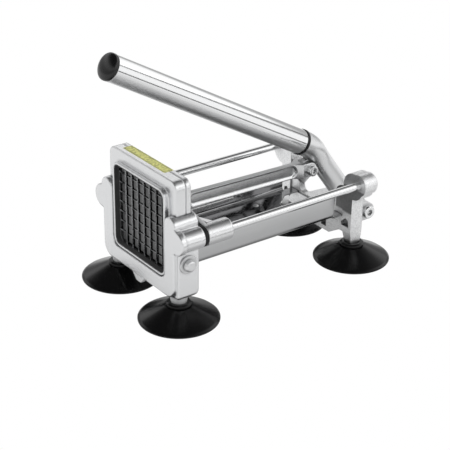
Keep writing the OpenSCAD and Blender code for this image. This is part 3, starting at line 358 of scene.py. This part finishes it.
def eased(node, piece, body, radius, material, steps=3, shape=None):
    """Copy of a CAD node with its points merged, its flat faces joined, and a round on each
    edge that turns more than 28 degrees. The round is the smaller of `radius` and 0.42 w,
    where w is the width of the narrower smooth patch beside the edge. `shape` moves the
    merged points, given as one array, before the rounds are made."""
    mesh = nodes[node].data.copy()
    mesh.name = piece
    solid = bmesh.new()
    solid.from_mesh(mesh)
    bmesh.ops.remove_doubles(solid, verts=solid.verts, dist=2e-6)
    bmesh.ops.dissolve_limit(solid, angle_limit=math.radians(0.6), verts=solid.verts,
                             edges=solid.edges)
    if shape:
        moved = shape(np.array([corner.co for corner in solid.verts]))
        for corner, place in zip(solid.verts, moved):
            corner.co = place
    if radius:
        share = solid.edges.layers.float.new("bevel_weight_edge")
        turning = {edge for edge in solid.edges
                   if len(edge.link_faces) == 2 and edge.calc_face_angle() > math.radians(28)}
        width_of = patch_widths(solid, turning)
        for edge in turning:
            narrower = min(width_of[face] for face in edge.link_faces)
            edge[share] = min(1.0, 0.42 * narrower / radius)
    bmesh.ops.triangulate(solid, faces=[face for face in solid.faces if len(face.verts) > 4])
    solid.to_mesh(mesh)
    solid.free()
    if mesh.attributes.get("custom_normal"):
        mesh.attributes.remove(mesh.attributes["custom_normal"])
    thing = finish_piece(bpy.data.objects.new(piece, mesh), material, body, node)
    if radius:
        bevel = thing.modifiers.new("round", "BEVEL")
        bevel.limit_method, bevel.width, bevel.segments = "WEIGHT", radius, steps
        bevel.use_clamp_overlap, bevel.loop_slide = False, False
        bevel.miter_outer = "MITER_ARC"
    even_shade(thing)
    return thing


def second_skin(thing, material, test):
    """Gives the faces that pass the test a second material."""
    thing.data.materials.append(material)
    for face in thing.data.polygons:
        face.material_index = int(test(face))


# The front bracket and the cassette are aluminium castings, blasted and lightly polished.
# Soft round edges catch the light, and the joint of the cassette's two layers stays open.
# The foot posts are left as they were cast.
blasted = metal("blasted_aluminium", (0.77, 0.775, 0.785), 0.95, painted_shade=0.4, near=0.003,
                soft_edge=0.0020, Clouds=0.05, Grain=0.20, Smoothest=0.19, Roughest=0.26)
post_skin = metal("post_skin", (0.80, 0.805, 0.81), 0.55, painted_shade=0.3, near=0.003,
                  Clouds=0.05, Grain=0.16, Smoothest=0.40, Roughest=0.50)
post_top = 0.0242
bracket = eased("front_bracket", "bracket_casting", "machine", 0.0013, blasted)
second_skin(bracket, post_skin, lambda face: face.center.z < post_top)
eased("cassette_frame", "cassette_front", "machine", 0.0010, blasted)
eased("cassette_cover", "cassette_back", "machine", 0.0010, blasted)


def change_input(tree, title, amount, other, blend="MIX", kind="RGBA"):
    """Mixes `other` into what feeds an input of the tree's Principled shader."""
    socket = find_node(tree, "BSDF_PRINCIPLED").inputs[title]
    now = socket.links[0].from_socket
    tree.links.new(mix_node(tree, amount, now, other, blend, kind), socket)


# The rear casting is coarser: sand-cast faces with open speckle, only its edges dressed. The
# front face of its right leg is painted darker up to just below the rod: painted shade from the
# tray beside it.
sand_cast = metal("sand_cast_aluminium", (0.82, 0.825, 0.83), 0.90, bump=0.9, painted_shade=0.6,
                  near=0.008, soft_edge=0.0009, Clouds=0.12, Grain=0.95, Fineness=800.0,
                  Smoothest=0.26, Roughest=0.38)
leg_inside, shade_bottom, shade_top, fade = 0.028, 0.047, 0.0765, 0.002
tree = sand_cast.node_tree
place = split_axes(tree, coordinates(tree))
facing = split_axes(tree, tree.nodes.new("ShaderNodeNewGeometry").outputs["True Normal"])
painted_leg_shade = math_node(tree, "MULTIPLY", math_node(tree, "LESS_THAN", facing["Y"], -0.8),
                      math_node(tree, "GREATER_THAN", place["X"], leg_inside))
for sign, level in ((1, shade_bottom), (-1, shade_top)):
    past = math_node(tree, "SUBTRACT", place["Z"], level)
    within = math_node(tree, "MULTIPLY", past, sign / fade, clamp=True)
    painted_leg_shade = math_node(tree, "MULTIPLY", painted_leg_shade, within)
# Painted shade on the right leg's front face: its colour is multiplied by 0.26 there.
change_input(tree, "Base Color", painted_leg_shade, (0.26, 0.26, 0.26, 1), "MULTIPLY")
nodes["rear_frame"].data.materials.clear()
nodes["rear_frame"].data.materials.append(sand_cast)

# The carriage is a casting too, satin all over. It slides on the rods behind the pin block.
satin_cast = metal("satin_casting", (0.73, 0.735, 0.74), 0.97, bump=0.05, painted_shade=0.3,
                   soft_edge=0.0012, Clouds=0.05, Grain=0.12, Smoothest=0.24, Roughest=0.30)
eased("pusher_carriage", "carriage_casting", "carriage", 0.0008, satin_cast)

# The link is a cast bar with a recess along each side. The lower flange slopes outwards and
# catches the light, the upper one is thin, and the top is tinted darker and rougher: painted
# shade over the top face.
shaded_link_top = metal("shaded_link_top", (0.44, 0.445, 0.45), 0.97, bump=0.2, painted_shade=0.3, Clouds=0.05,
                 Grain=0.16, Smoothest=0.30, Roughest=0.40)
link_side = metal("link_side", (0.74, 0.745, 0.75), 0.97, bump=0.05, Clouds=0.05,
                  Grain=0.10, Smoothest=0.22, Roughest=0.28)


def sloped_recess(points):
    """Moves the recess of the link: along its length y and height z, seen from the bolt, the
    inner corners go to 0.5 + 1.04 z and the outer rim goes to 1.36 z, in millimetres."""
    bolt_place, recess_half, recess_rear, recess_front = (
        np.array([0, 0.076928, 0.081476]), 0.00475, -0.0125, -0.1420)
    inner_x, outer_x = 0.0016, 0.0025
    length_way, height_way = np.array([0, 0.99983, -0.01862]), np.array([0, 0.01862, 0.99983])
    from_bolt = points - bolt_place
    x, y, z = np.abs(points[:, 0]), from_bolt @ length_way, from_bolt @ height_way
    recess = (np.abs(z) < recess_half) & (y < recess_rear) & (y > recess_front)
    inner, outer = recess & (x < inner_x), recess & (x > outer_x)
    rise = np.where(inner, 0.0005 + 0.04 * z, np.where(outer, 0.36 * z, 0))
    return points + rise[:, None] * height_way


link = eased("link_bar", "link_casting", "link", 0.0008, link_side,
             shape=sloped_recess)
# The upward faces get the darker tint: painted shade.
second_skin(link, shaded_link_top, lambda face: face.normal.z > 0.95)

# The black lining inside the lip of the window, pressed from thin plastic. From the front
# it shows as a dark line around the blades.
lining = dark_stuff("lining_plastic", (0.060, 0.060, 0.061), 0.40, 0.55, 0.3)
eased("window_liner", "window_lining", "machine", 0.0002, lining, steps=2)


def span(mesh):
    """Lowest and highest corner of a mesh's box, in metres."""
    flat = np.empty(len(mesh.vertices) * 3)
    mesh.vertices.foreach_get("co", flat)
    points = flat.reshape(-1, 3)
    return points.min(0), points.max(0)


# The pin block is moulded black plastic. Its pins have softly rounded square faces in a dull
# grey and blacker sides: lit and shaded copies of one plastic, painted light on the faces and
# painted shade on the sides.
shaded_pin_plastic = dark_stuff("shaded_pin_plastic", (0.0025, 0.0025, 0.0026), 0.35, 0.5, 0.1)
lit_pin_faces = dark_stuff("lit_pin_faces", (0.125, 0.125, 0.127), 0.45, 0.6, 0.4)
tip_layer = 0.0002


def sunk_tips(points):
    """Moves the tips of the pins 0.6 mm back between the blades, along +y."""
    tips = points[:, 1] < points[:, 1].min() + tip_layer
    return points + tips[:, None] * np.array([0, 0.0006, 0])


block = eased("pin_block", "pin_block_moulding", "carriage", 0.00035, shaded_pin_plastic,
              steps=2, shape=sunk_tips)
tip_end = span(block.data)[0][1] + tip_layer
# The pins' front faces get the lighter tint: painted light.
second_skin(block, lit_pin_faces, lambda face: face.normal.y < -0.9 and face.center.y < tip_end)

# The tray is bent from stainless sheet, brushed along its length outside and nearly a mirror
# inside. Its walls are painted darker in a band just above the bend at their foot: painted shade
# standing in for the shade under the tool that the lower walls mirror. A flat strip under its
# floor keeps it stiff.
brushed = metal("brushed_tray", (0.56, 0.565, 0.57), bump=0.12, stretch=(1, 0.012, 1),
                Clouds=0.10, Grain=0.16, Fineness=2600.0, Smoothest=0.24, Roughest=0.34)
tray_inside = metal("tray_inside", (0.33, 0.33, 0.335), bump=0.03, stretch=(1, 0.012, 1),
                    Clouds=0.10, Grain=0.12, Fineness=2600.0, Smoothest=0.03, Roughest=0.07)
band_bottom, band_height = 0.0410, 0.0235
tree = brushed.node_tree
above_bend = math_node(tree, "SUBTRACT", split_axes(tree, coordinates(tree))["Z"], band_bottom)
up_wall = math_node(tree, "DIVIDE", above_bend, band_height, clamp=True)
# Painted shade: the wall colour darkens in a band above the bend, then lightens towards the rim.
painted_bend_shade = ramp_node(tree, up_wall, {
    0.0: 1.0, 0.03: 1.0, 0.08: 0.52, 0.14: 0.60, 0.30: 0.86, 1.0: 1.0})
change_input(tree, "Base Color", 1.0, painted_bend_shade, "MULTIPLY")
sheet = eased("tray", "tray_sheet", "machine", 0.0010, brushed)
sheet_low, sheet_high = span(sheet.data)


def on_the_inside(face):
    """Whether a face of the tray looks up or towards the middle, and lies from 1 mm above
    its lowest point to 0.6 mm below its rims."""
    inward = face.normal.z > 0.5 or face.normal.x * face.center.x < 0
    return inward and sheet_low[2] + 0.001 < face.center.z < sheet_high[2] - 0.0006


second_skin(sheet, tray_inside, on_the_inside)
eased("tray_brace", "brace_strip", "machine", 0.00025, brushed, steps=2)

# The blades are strips of hardened steel, half-lapped into a grid. Their sides are tinted dark
# and darkened further near the pins: painted shade of the pins. Only the front edge is ground
# bright: over the depth `grind` it narrows to the share `blunt` of the blade's thickness.
shaded_blade_side = metal("shaded_blade_side", (0.13, 0.13, 0.133), bump=0.1, stretch=(1, 1, 0.02),
                   painted_shade=1.0, near=0.006, Grain=0.12, Smoothest=0.18, Roughest=0.26)
ground_edge = metal("ground_edge", (0.48, 0.485, 0.49), bump=0.1, Grain=0.05,
                    Smoothest=0.2, Roughest=0.3)
cell = 0.009525
for node, piece, across, blunt, grind in (
        ("vertical_blades", "upright_blades", 0, 0.22, 0.0011),
        ("horizontal_blades", "level_blades", 2, 0.42, 0.0004)):
    low, high = span(nodes[node].data)
    middle, front = (low[across] + high[across]) / 2, low[1]
    blades = eased(node, piece, "machine", 0, shaded_blade_side)
    solid = bmesh.new()
    solid.from_mesh(blades.data)
    bmesh.ops.bisect_plane(solid, geom=[*solid.verts, *solid.edges, *solid.faces],
                           plane_co=(0, front + grind, 0), plane_no=(0, 1, 0))
    for corner in solid.verts:
        if corner.co.y < front + 1e-6:
            blade_middle = middle + round((corner.co[across] - middle) / cell) * cell
            off_middle = corner.co[across] - blade_middle
            corner.co[across] = blade_middle + off_middle * blunt
    solid.to_mesh(blades.data)
    solid.free()
    second_skin(blades, ground_edge, lambda face: face.center.y < front + grind * 0.9)
    blades.data.shade_flat()


def full_turn(steps=96):
    """Angles of one full turn."""
    return np.linspace(0, 2 * math.pi, steps, endpoint=False)


def joined_rows(rows):
    """Points and faces of a surface through closed rows of points, one after another."""
    points = np.stack(rows)
    index = np.arange(points.shape[0] * points.shape[1]).reshape(points.shape[:2])
    beside = np.roll(index, -1, axis=1)
    faces = np.stack([index[:-1], index[1:], beside[1:], beside[:-1]], axis=-1)
    return points.reshape(-1, 3), faces.reshape(-1, 4)


def turned(rings, base, axis, steps=96):
    """Points and faces of a surface of revolution: the point of ring (s, r) at angle t is
    base + s * axis + r * (cos t * side + sin t * up). r may be an array over the angles."""
    axis = np.array(axis, float)
    side = np.cross(axis, (0, 0, 1) if abs(axis[2]) < 0.9 else (1, 0, 0))
    side /= np.linalg.norm(side)
    up = np.cross(side, axis)
    angle = full_turn(steps)
    circle = np.cos(angle)[:, None] * side + np.sin(angle)[:, None] * up
    return joined_rows([np.array(base) + s * axis + np.broadcast_to(r, steps)[:, None] * circle
                        for s, r in rings])


def rounded_line(points, radii, steps=5):
    """Line through `points` with an arc of its radius at each inner corner: the arc meets
    both sides at r / tan(h) from the corner, h being half the angle between them."""
    points = [np.array(point, float) for point in points]
    line = [points[0]]
    for before, corner, after, r in zip(points, points[1:], points[2:], radii):
        a = (before - corner) / np.linalg.norm(before - corner)
        b = (after - corner) / np.linalg.norm(after - corner)
        half = math.acos(np.clip(a @ b, -1, 1)) / 2
        if not r or half > 1.56:
            line.append(corner)
            continue
        centre = corner + (a + b) / np.linalg.norm(a + b) * r / math.sin(half)
        start = corner + a * r / math.tan(half) - centre
        end = corner + b * r / math.tan(half) - centre
        turn = math.pi - 2 * half
        for t in np.linspace(0, turn, steps + 1):
            way = start * math.sin(turn - t) + end * math.sin(t)
            line.append(centre + way / math.sin(turn))
    return line + [points[-1]]


def ring_line(start, end, inner, outer, radii):
    """Closed outline of a ring that goes from `start` to `end` along its axis."""
    return rounded_line([(start, inner), (start, outer), (end, outer), (end, inner),
                         (start, inner)], radii)


def make_piece(name, shapes, material, body, node=None):
    """One object from several (points, faces) shapes, with doubled points merged."""
    solid = bmesh.new()
    for points, faces in shapes:
        corners = [solid.verts.new(point) for point in points]
        for face in faces:
            solid.faces.new([corners[i] for i in face])
    bmesh.ops.remove_doubles(solid, verts=solid.verts, dist=1e-7)
    bmesh.ops.recalc_face_normals(solid, faces=solid.faces)
    mesh = bpy.data.meshes.new(name)
    solid.to_mesh(mesh)
    solid.free()
    thing = finish_piece(bpy.data.objects.new(name, mesh), material, body, node)
    even_shade(thing)
    return thing


def along_y(node):
    """Middle of the front end, radius and length of a round CAD node that lies along y."""
    low, high = span(nodes[node].data)
    middle = (low + high) / 2
    return (middle[0], low[1], middle[2]), (high[0] - low[0]) / 2, high[1] - low[1]


# The guide rods are polished chromed bars, pressed into the bosses of both castings.
chrome = metal("polished_chrome", (0.86, 0.865, 0.87), bump=0.03, stretch=(1, 0.02, 1),
               Clouds=0.04, Grain=0.06, Smoothest=0.09, Roughest=0.13)
for node in ("guide_rod_left", "guide_rod_right"):
    front, radius, length = along_y(node)
    rings = rounded_line([(0, 0), (0, radius), (length, radius), (length, 0)], [0.0005, 0.0005])
    make_piece(node.replace("guide", "chromed"), [turned(rings, front, (0, 1, 0))], chrome,
               "machine", node)

# Black rubber rings stop the sleeves at the front ends of the rods.
rubber = dark_stuff("black_rubber", (0.011, 0.011, 0.0115), 0.42, 0.6, 0.25)
for node in ("bumper_left", "bumper_right"):
    front, radius, length = along_y(node)
    rings = ring_line(0, length, 0.0038, radius, [0.0008, 0.0008, 0])
    make_piece(node.replace("bumper", "bumper_ring"), [turned(rings, front, (0, 1, 0))], rubber,
               "machine", node)


def flats(r, count):
    """Radius of a polygon with `count` corners at distance r, over the angles of turned:
    r cos(pi / n) / cos(((t + pi / n) mod (2 pi / n)) - pi / n)."""
    half = math.pi / count
    return r * math.cos(half) / np.cos((full_turn() + half) % (2 * half) - half)


# The suction cups are soft black rubber: a thin skirt with faint moulding facets, hollow
# below, and a collar that grips the foot post. Each corner of the outline has a height, a
# distance from the axis and a rounding. The facets stay off the collar and the rim.
cup_stuff = dark_stuff("cup_rubber", (0.0026, 0.0026, 0.0028), 0.16, 0.24, 0.32, grain=420,
                       bump=0.15)
corners = [
    (0.0084, 0, 0), (0.0084, 0.0091, 0.003), (0.0052, 0.0217, 0.02), (0, 0.0343, 0.0004),
    (0, 0.0364, 0.0006), (0.0015, 0.0364, 0.0008), (0.0030, 0.0347, 0.003),
    (0.0085, 0.0237, 0.05), (0.0138, 0.0128, 0.001), (0.0140, 0.0106, 0.0002),
    (0.0148, 0.0106, 0.0002), (0.0150, 0.0114, 0.0002), (0.0162, 0.0114, 0.0008),
    (0.0175, 0.0096, 0.0006), (0.0175, 0.0073, 0.0004), (0.0144, 0.0073, 0), (0.0144, 0, 0)]
outline = rounded_line([corner[:2] for corner in corners],
                       [corner[2] for corner in corners[1:-1]], steps=6)
facet_share, collar_r, rim_top = 0.16, 0.0125, 0.0016
faceted = 1 + facet_share * (flats(1, 12) - 1)
rings = [(s, r * faceted if r > collar_r and s > rim_top else r) for s, r in outline]
for corner_name in ("front_left", "front_right", "rear_left", "rear_right"):
    node = "suction_cup_" + corner_name
    low, high = span(nodes[node].data)
    middle = (low + high) / 2
    make_piece("cup_" + corner_name, [turned(rings, (middle[0], middle[1], 0), (0, 0, 1))],
               cup_stuff, "machine", node)

# The retaining screws press the cassette from both sides. They have broad pan heads on flat
# washers, all of satin steel.
satin_steel = metal("satin_steel", (0.74, 0.745, 0.75), bump=0.08, Clouds=0.05, Grain=0.08,
                    painted_shade=0.6, Smoothest=0.30, Roughest=0.36)
low, high = span(nodes["lock_washers"].data)
middle, thick = (low + high) / 2, 0.00175
head = span(nodes["lock_screws"].data)[1][0] - high[0]
washer_rings = ring_line(0, thick, 0.0026, 0.00825, [0.0002, 0.0004, 0.0002])
screw_rings = rounded_line([(-0.0105, 0), (-0.0105, 0.00255), (0, 0.00255), (0, 0.0057),
                            (head, 0.0050), (head, 0)], [0.0004, 0, 0.0003, 0.0022])
for name, node, rings, seat in (
        ("side_washers", "lock_washers", washer_rings, high[0] - thick),
        ("side_screws", "lock_screws", screw_rings, high[0])):
    shapes = [turned(rings, (sign * seat, middle[1], middle[2]), (sign, 0, 0))
              for sign in (1, -1)]
    make_piece(name, shapes, satin_steel, "machine", node)


def socket_screw(base, axis, shank_r, shank_len, head_r, head_h, socket_r, depth):
    """Cap screw from `base`, the seat of its head: shank against `axis`, head along it with
    a rounded rim and a hexagonal socket."""
    outer = rounded_line(
        [(-shank_len, 0), (-shank_len, shank_r), (0, shank_r), (0, head_r), (head_h, head_r),
         (head_h, socket_r * 1.08)], [shank_r * 0.2, 0, head_r * 0.05, head_r * 0.16])
    socket, bottom = flats(socket_r, 6), head_h - depth
    inner = [(head_h - head_r * 0.04, socket), (bottom, socket), (bottom, 0)]
    return turned(outer + inner, base, axis)


def hex_nut(base, axis, corner_r, bore_r, height):
    """Hexagonal nut from `base` along `axis`. A ring at the distance d from the nearer end
    is the hexagon, cut by the chamfer's cone of radius 0.88 corner_r + 1.6 d."""
    face_r = corner_r * 0.86
    rings = [(0, bore_r), (0, face_r)]
    for s in np.linspace(0, height, 17):
        cone = corner_r * 0.88 + min(s, height - s) * 1.6
        rings.append((s, np.minimum(flats(corner_r, 6), cone)))
    rings += [(height, face_r), (height, bore_r), (0, bore_r)]
    return turned(rings, base, axis)


# The pivot bolt and the link bolt are chromed socket screws with nuts on the left side.
bright_steel = metal("bright_steel", (0.82, 0.825, 0.83), bump=0.05, Clouds=0.05, Grain=0.06,
                     painted_shade=0.5, Smoothest=0.09, Roughest=0.16)
thread_gap = 0.00005
for bolt, nut, body, shank_r, head_r, head_h, nut_h in (
        ("pivot_bolt", "pivot_nut", "machine", 0.004, 0.0064, 0.00496, 0.0064),
        ("link_bolt", "link_nut", "link", 0.003, 0.0051, 0.0048, 0.0042)):
    low, high = span(nodes[bolt].data)
    middle, seat = (low + high) / 2, high[0] - head_h
    shape = socket_screw((seat, middle[1], middle[2]), (1, 0, 0), shank_r, seat - low[0],
                         head_r, head_h, shank_r * 0.8, head_h * 0.6)
    make_piece(bolt.replace("bolt", "cap_screw"), [shape], bright_steel, body, bolt)
    low, high = span(nodes[nut].data)
    shape = hex_nut((high[0], middle[1], middle[2]), (-1, 0, 0), (high[2] - low[2]) / 2,
                    shank_r + thread_gap, nut_h)
    make_piece(nut.replace("nut", "hex_nut"), [shape], bright_steel, body, nut)

# Four cap screws hold the pin block to the pusher, and four small ones join the cassette's
# two layers. They are of the same bright steel.
for node, body, shank_r, head_r, head_h, tail in (
        ("pusher_screws", "carriage", 0.0018, 0.0036, 0.00216, 0.0081),
        ("cassette_screws", "machine", 0.0015, 0.00285, 0.0021, 0.0087)):
    low, high = span(nodes[node].data)
    middle, reach = (low + high) / 2, (high - low) / 2 - head_r
    shapes = []
    for across in (-1, 1):
        for up in (-1, 1):
            seat = (middle[0] + across * reach[0], high[1] - head_h, middle[2] + up * reach[2])
            shapes.append(socket_screw(seat, (0, 1, 0), shank_r, tail, head_r, head_h,
                                       head_r * 0.48, head_h * 0.5))
    make_piece(node.replace("screws", "cap_screws"), shapes, bright_steel, body, node)

# The handle: a drawn stainless tube, polished lengthwise and left satin below, between a
# thin black gasket at the elbow and a domed black cap at the front. Lengths along it start
# at the elbow, where its middle line meets the arm's.
rise = math.radians(29.2)
along = np.array([0, -math.cos(rise), math.sin(rise)])
elbow = np.array([0, 0.081211, 0.102504])
drawn_tube = metal("drawn_tube", (0.80, 0.805, 0.81), bump=0.05, turn=(rise, 0, 0),
                   stretch=(1, 0.01, 1), Clouds=0.06, Grain=0.10, Fineness=1500.0,
                   Smoothest=0.10, Roughest=0.13)
tree = drawn_tube.node_tree
facing = split_axes(tree, coordinates(tree, "Normal"))
downward = product_sum(tree, (facing["Y"], -math.sin(rise)), (facing["Z"], -math.cos(rise)))
satin_from, satin_gain, satin_rough = 0.10, 3.0, 0.40
underside = math_node(tree, "MULTIPLY", math_node(tree, "SUBTRACT", downward, satin_from),
                      satin_gain, clamp=True)
change_input(tree, "Roughness", underside, satin_rough, kind="FLOAT")
tube_start, tube_end, tube_r, bore_r = 0.0161, 0.2485, 0.0118, 0.0103
rings = ring_line(tube_start, tube_end, bore_r, tube_r, [0.0003, 0.0003, 0.0002])
make_piece("polished_tube", [turned(rings, elbow, along, 160)], drawn_tube, "handle",
           "handle_tube")
gasket_start, gasket_end, gasket_r = 0.0130, 0.0163, 0.0124
rings = ring_line(gasket_start, gasket_end, bore_r, gasket_r, [0.0005, 0.0005, 0])
make_piece("elbow_gasket", [turned(rings, elbow, along)], rubber, "handle", "handle_gasket")
cap_stuff = dark_stuff("cap_plastic", (0.0025, 0.0025, 0.0027), 0.24, 0.30, 0.50, grain=600,
                       bump=0.1)
plug_end, plug_r, cap_r, dome_start, dome_height = 0.2279, 0.01025, 0.01203, 0.2508, 0.0050
rings = [(plug_end, 0), (plug_end, plug_r), (tube_end, plug_r), (tube_end, 0.0116),
         (0.2489, cap_r)]
rings += [(dome_start + dome_height * math.sin(t), cap_r * math.cos(t))
          for t in np.linspace(0, math.pi / 2, 24)]
make_piece("domed_cap", [turned(rings, elbow, along)], cap_stuff, "handle", "end_cap")

# The lever is one casting: an oval arm that swells and bends into the round neck of the
# handle, a hub across the pivot and a flat lug for the link bolt. The arm is 12 % narrower
# where it meets the hub, and its section goes from a squarish oval, with the power 0.86 on
# the cosine and sine, to a circle.
lever_cast = metal("lever_casting", (0.70, 0.705, 0.71), 0.97, bump=0.1, painted_shade=0.5,
                   Clouds=0.06, Grain=0.12, Smoothest=0.25, Roughest=0.31)
lean = math.radians(36.7)
pivot = np.array([0, 0.136372, 0.0285])
up_arm = np.array([0, -math.sin(lean), math.cos(lean)])
arm_len, neck_end, bend = 0.0923, 0.0133, 0.045
bend_angle = math.acos(up_arm @ along)
bend_way = (along - up_arm * math.cos(bend_angle)) / math.sin(bend_angle)
easing = bend * math.tan(bend_angle / 2)
straight = arm_len - easing
total = straight + bend * bend_angle + neck_end - easing


def arm_line(s):
    """Place and direction of the arm's middle line at the length s from the pivot: straight
    up, then an arc of radius `bend`, then straight along the handle."""
    if s < straight:
        return pivot + up_arm * s, up_arm
    if s < straight + bend * bend_angle:
        t = (s - straight) / bend
        on_arc = bend * (up_arm * math.sin(t) + bend_way * (1 - math.cos(t)))
        return pivot + up_arm * straight + on_arc, up_arm * math.cos(t) + bend_way * math.sin(t)
    return elbow + along * (s - total + neck_end), along


arm_x, arm_w, neck_r = 0.0080, 0.0107, 0.01175
swell_before, swell_len, foot_len = 0.026, 0.030, 0.012
across, wide = np.cos(full_turn()), np.sin(full_turn())
rows = []
for s in np.linspace(0.0, total, 110):
    centre, heading = arm_line(s)
    swell = np.clip((s - arm_len + swell_before) / swell_len, 0, 1)
    swell = swell * swell * (3 - 2 * swell)
    half_x = arm_x + (neck_r - arm_x) * swell
    half_w = (arm_w + (neck_r - arm_w) * swell) * min(1.0, 0.88 + s / foot_len * 0.12)
    power = 0.86 + 0.14 * swell
    to_side = (half_x * np.sign(across) * np.abs(across) ** power)[:, None]
    to_rear = (half_w * np.sign(wide) * np.abs(wide) ** power)[:, None]
    rows.append(centre + to_side * np.array([1, 0, 0]) + to_rear * np.cross((1, 0, 0), heading))
arm = np.stack(rows)

# The arm is hollowed to a round seat on both sides of the lug. The lug is thin, with a bore
# for the link bolt, a half round front, a square rear and stepped rims.
bolt_low, bolt_high = span(nodes["link_bolt"].data)
link_axis = ((bolt_low + bolt_high) / 2)[1:]
seat_r, seat_x, lug_bore, lug_half, lug_rear = 0.0081, 0.0034, 0.00305, 0.0095, 0.0125
off = arm[..., 1:] - link_axis
gap = np.linalg.norm(off, axis=-1, keepdims=True)
beside_lug = (np.abs(arm[..., :1]) > seat_x) & (gap < seat_r)
arm[..., 1:] = np.where(beside_lug, link_axis + off / gap * seat_r, arm[..., 1:])
with np.errstate(divide="ignore"):
    square = np.minimum(lug_rear / np.maximum(across, 1e-6), lug_half / np.abs(wide))
reach = np.where(across > 1e-6, square, lug_half)
circle = across[:, None] * np.cross((1, 0, 0), up_arm) + wide[:, None] * up_arm
lug = []
for x, share in ((-0.0035, 0), (-0.0035, 0.93), (-0.0032, 0.98), (-0.0028, 1), (0.0028, 1),
                 (0.0032, 0.98), (0.0035, 0.93), (0.0035, 0), (-0.0035, 0)):
    radius = lug_bore + (reach - lug_bore) * share
    lug.append(np.array([x, *link_axis]) + radius[:, None] * circle)
hub_half, spigot_end = 0.0135, 0.0440
hub = ring_line(0, 2 * hub_half, 0.0059, 0.010, [0.0010, 0.0010, 0])
spigot = [(neck_end, neck_r), (neck_end, plug_r), (spigot_end, plug_r), (spigot_end, 0)]
make_piece("lever_casting", [
    joined_rows(arm), turned(hub, pivot - np.array([hub_half, 0, 0]), (1, 0, 0)),
    turned(spigot, elbow, along), joined_rows(lug),
], lever_cast, "handle", "lever_arm")

# The blank printed strip on top of the cassette: worn yellow-green vinyl, 0.1 mm thick, with
# a darker border line and rounded corners.
vinyl, tree, shader = fresh_material("printed_strip")
strip_low, strip_high = np.array([-0.0380, -0.1024]), np.array([0.0276, -0.0928])
place = coordinates(tree)
axes = split_axes(tree, place)
inset = None
for letter, start, end in zip("XY", strip_low, strip_high):
    middle, half = float(start + end) / 2, float(end - start) / 2
    from_middle = math_node(tree, "ABSOLUTE", math_node(tree, "SUBTRACT", axes[letter], middle))
    edge = math_node(tree, "SUBTRACT", half, from_middle)
    inset = edge if inset is None else math_node(tree, "MINIMUM", inset, edge)
border_start, border_end = 0.0008, 0.0013
border = math_node(tree, "MULTIPLY", math_node(tree, "GREATER_THAN", inset, border_start),
                   math_node(tree, "LESS_THAN", inset, border_end))
inks = mix_node(tree, border, (0.66, 0.66, 0.20, 1), (0.14, 0.14, 0.05, 1))
wear = ramp_node(tree, noise_node(tree, place, 480, 4, 0.6),
                 {0.0: 0.35, 0.42: 0.55, 0.56: 1.0, 1.0: 1.0})
tree.links.new(mix_node(tree, 1.0, inks, wear, "MULTIPLY"), shader.inputs["Base Color"])
shader.inputs["Roughness"].default_value = 0.42
corner_r, top = 0.0008, span(nodes["cassette_frame"].data)[1][2]
rim = []
for quarter, side in enumerate(((0, 0), (1, 0), (1, 1), (0, 1))):
    centre = np.where(side, strip_high - corner_r, strip_low + corner_r)
    for t in np.linspace(quarter + 2, quarter + 3, 7) * math.pi / 2:
        rim.append(centre + corner_r * np.array([math.cos(t), math.sin(t)]))
rim, middle, rows = np.array(rim), (strip_low + strip_high) / 2, []
for share, lift in ((0, -0.00002), (1, -0.00002), (1, 0.00006), (0.998, 0.00010), (0, 0.00010)):
    rows.append(np.column_stack([middle + (rim - middle) * share, np.full(len(rim), top + lift)]))
blank_strip = make_piece("blank_strip", [joined_rows(rows)], vinyl, "machine")
blank_strip.visible_glossy = False

# The small parts that keep their CAD shape: rivets, studs, washers, clevis pin and clips
# in satin steel, and the dark plastic bushes.
bush_plastic = dark_stuff("bush_plastic", (0.02, 0.02, 0.02), 0.35, 0.5, 0.3)
for name, thing in nodes.items():
    if not thing.hide_render and name != "rear_frame":
        thing.data.materials.clear()
        thing.data.materials.append(bush_plastic if "bush" in name else satin_steel)
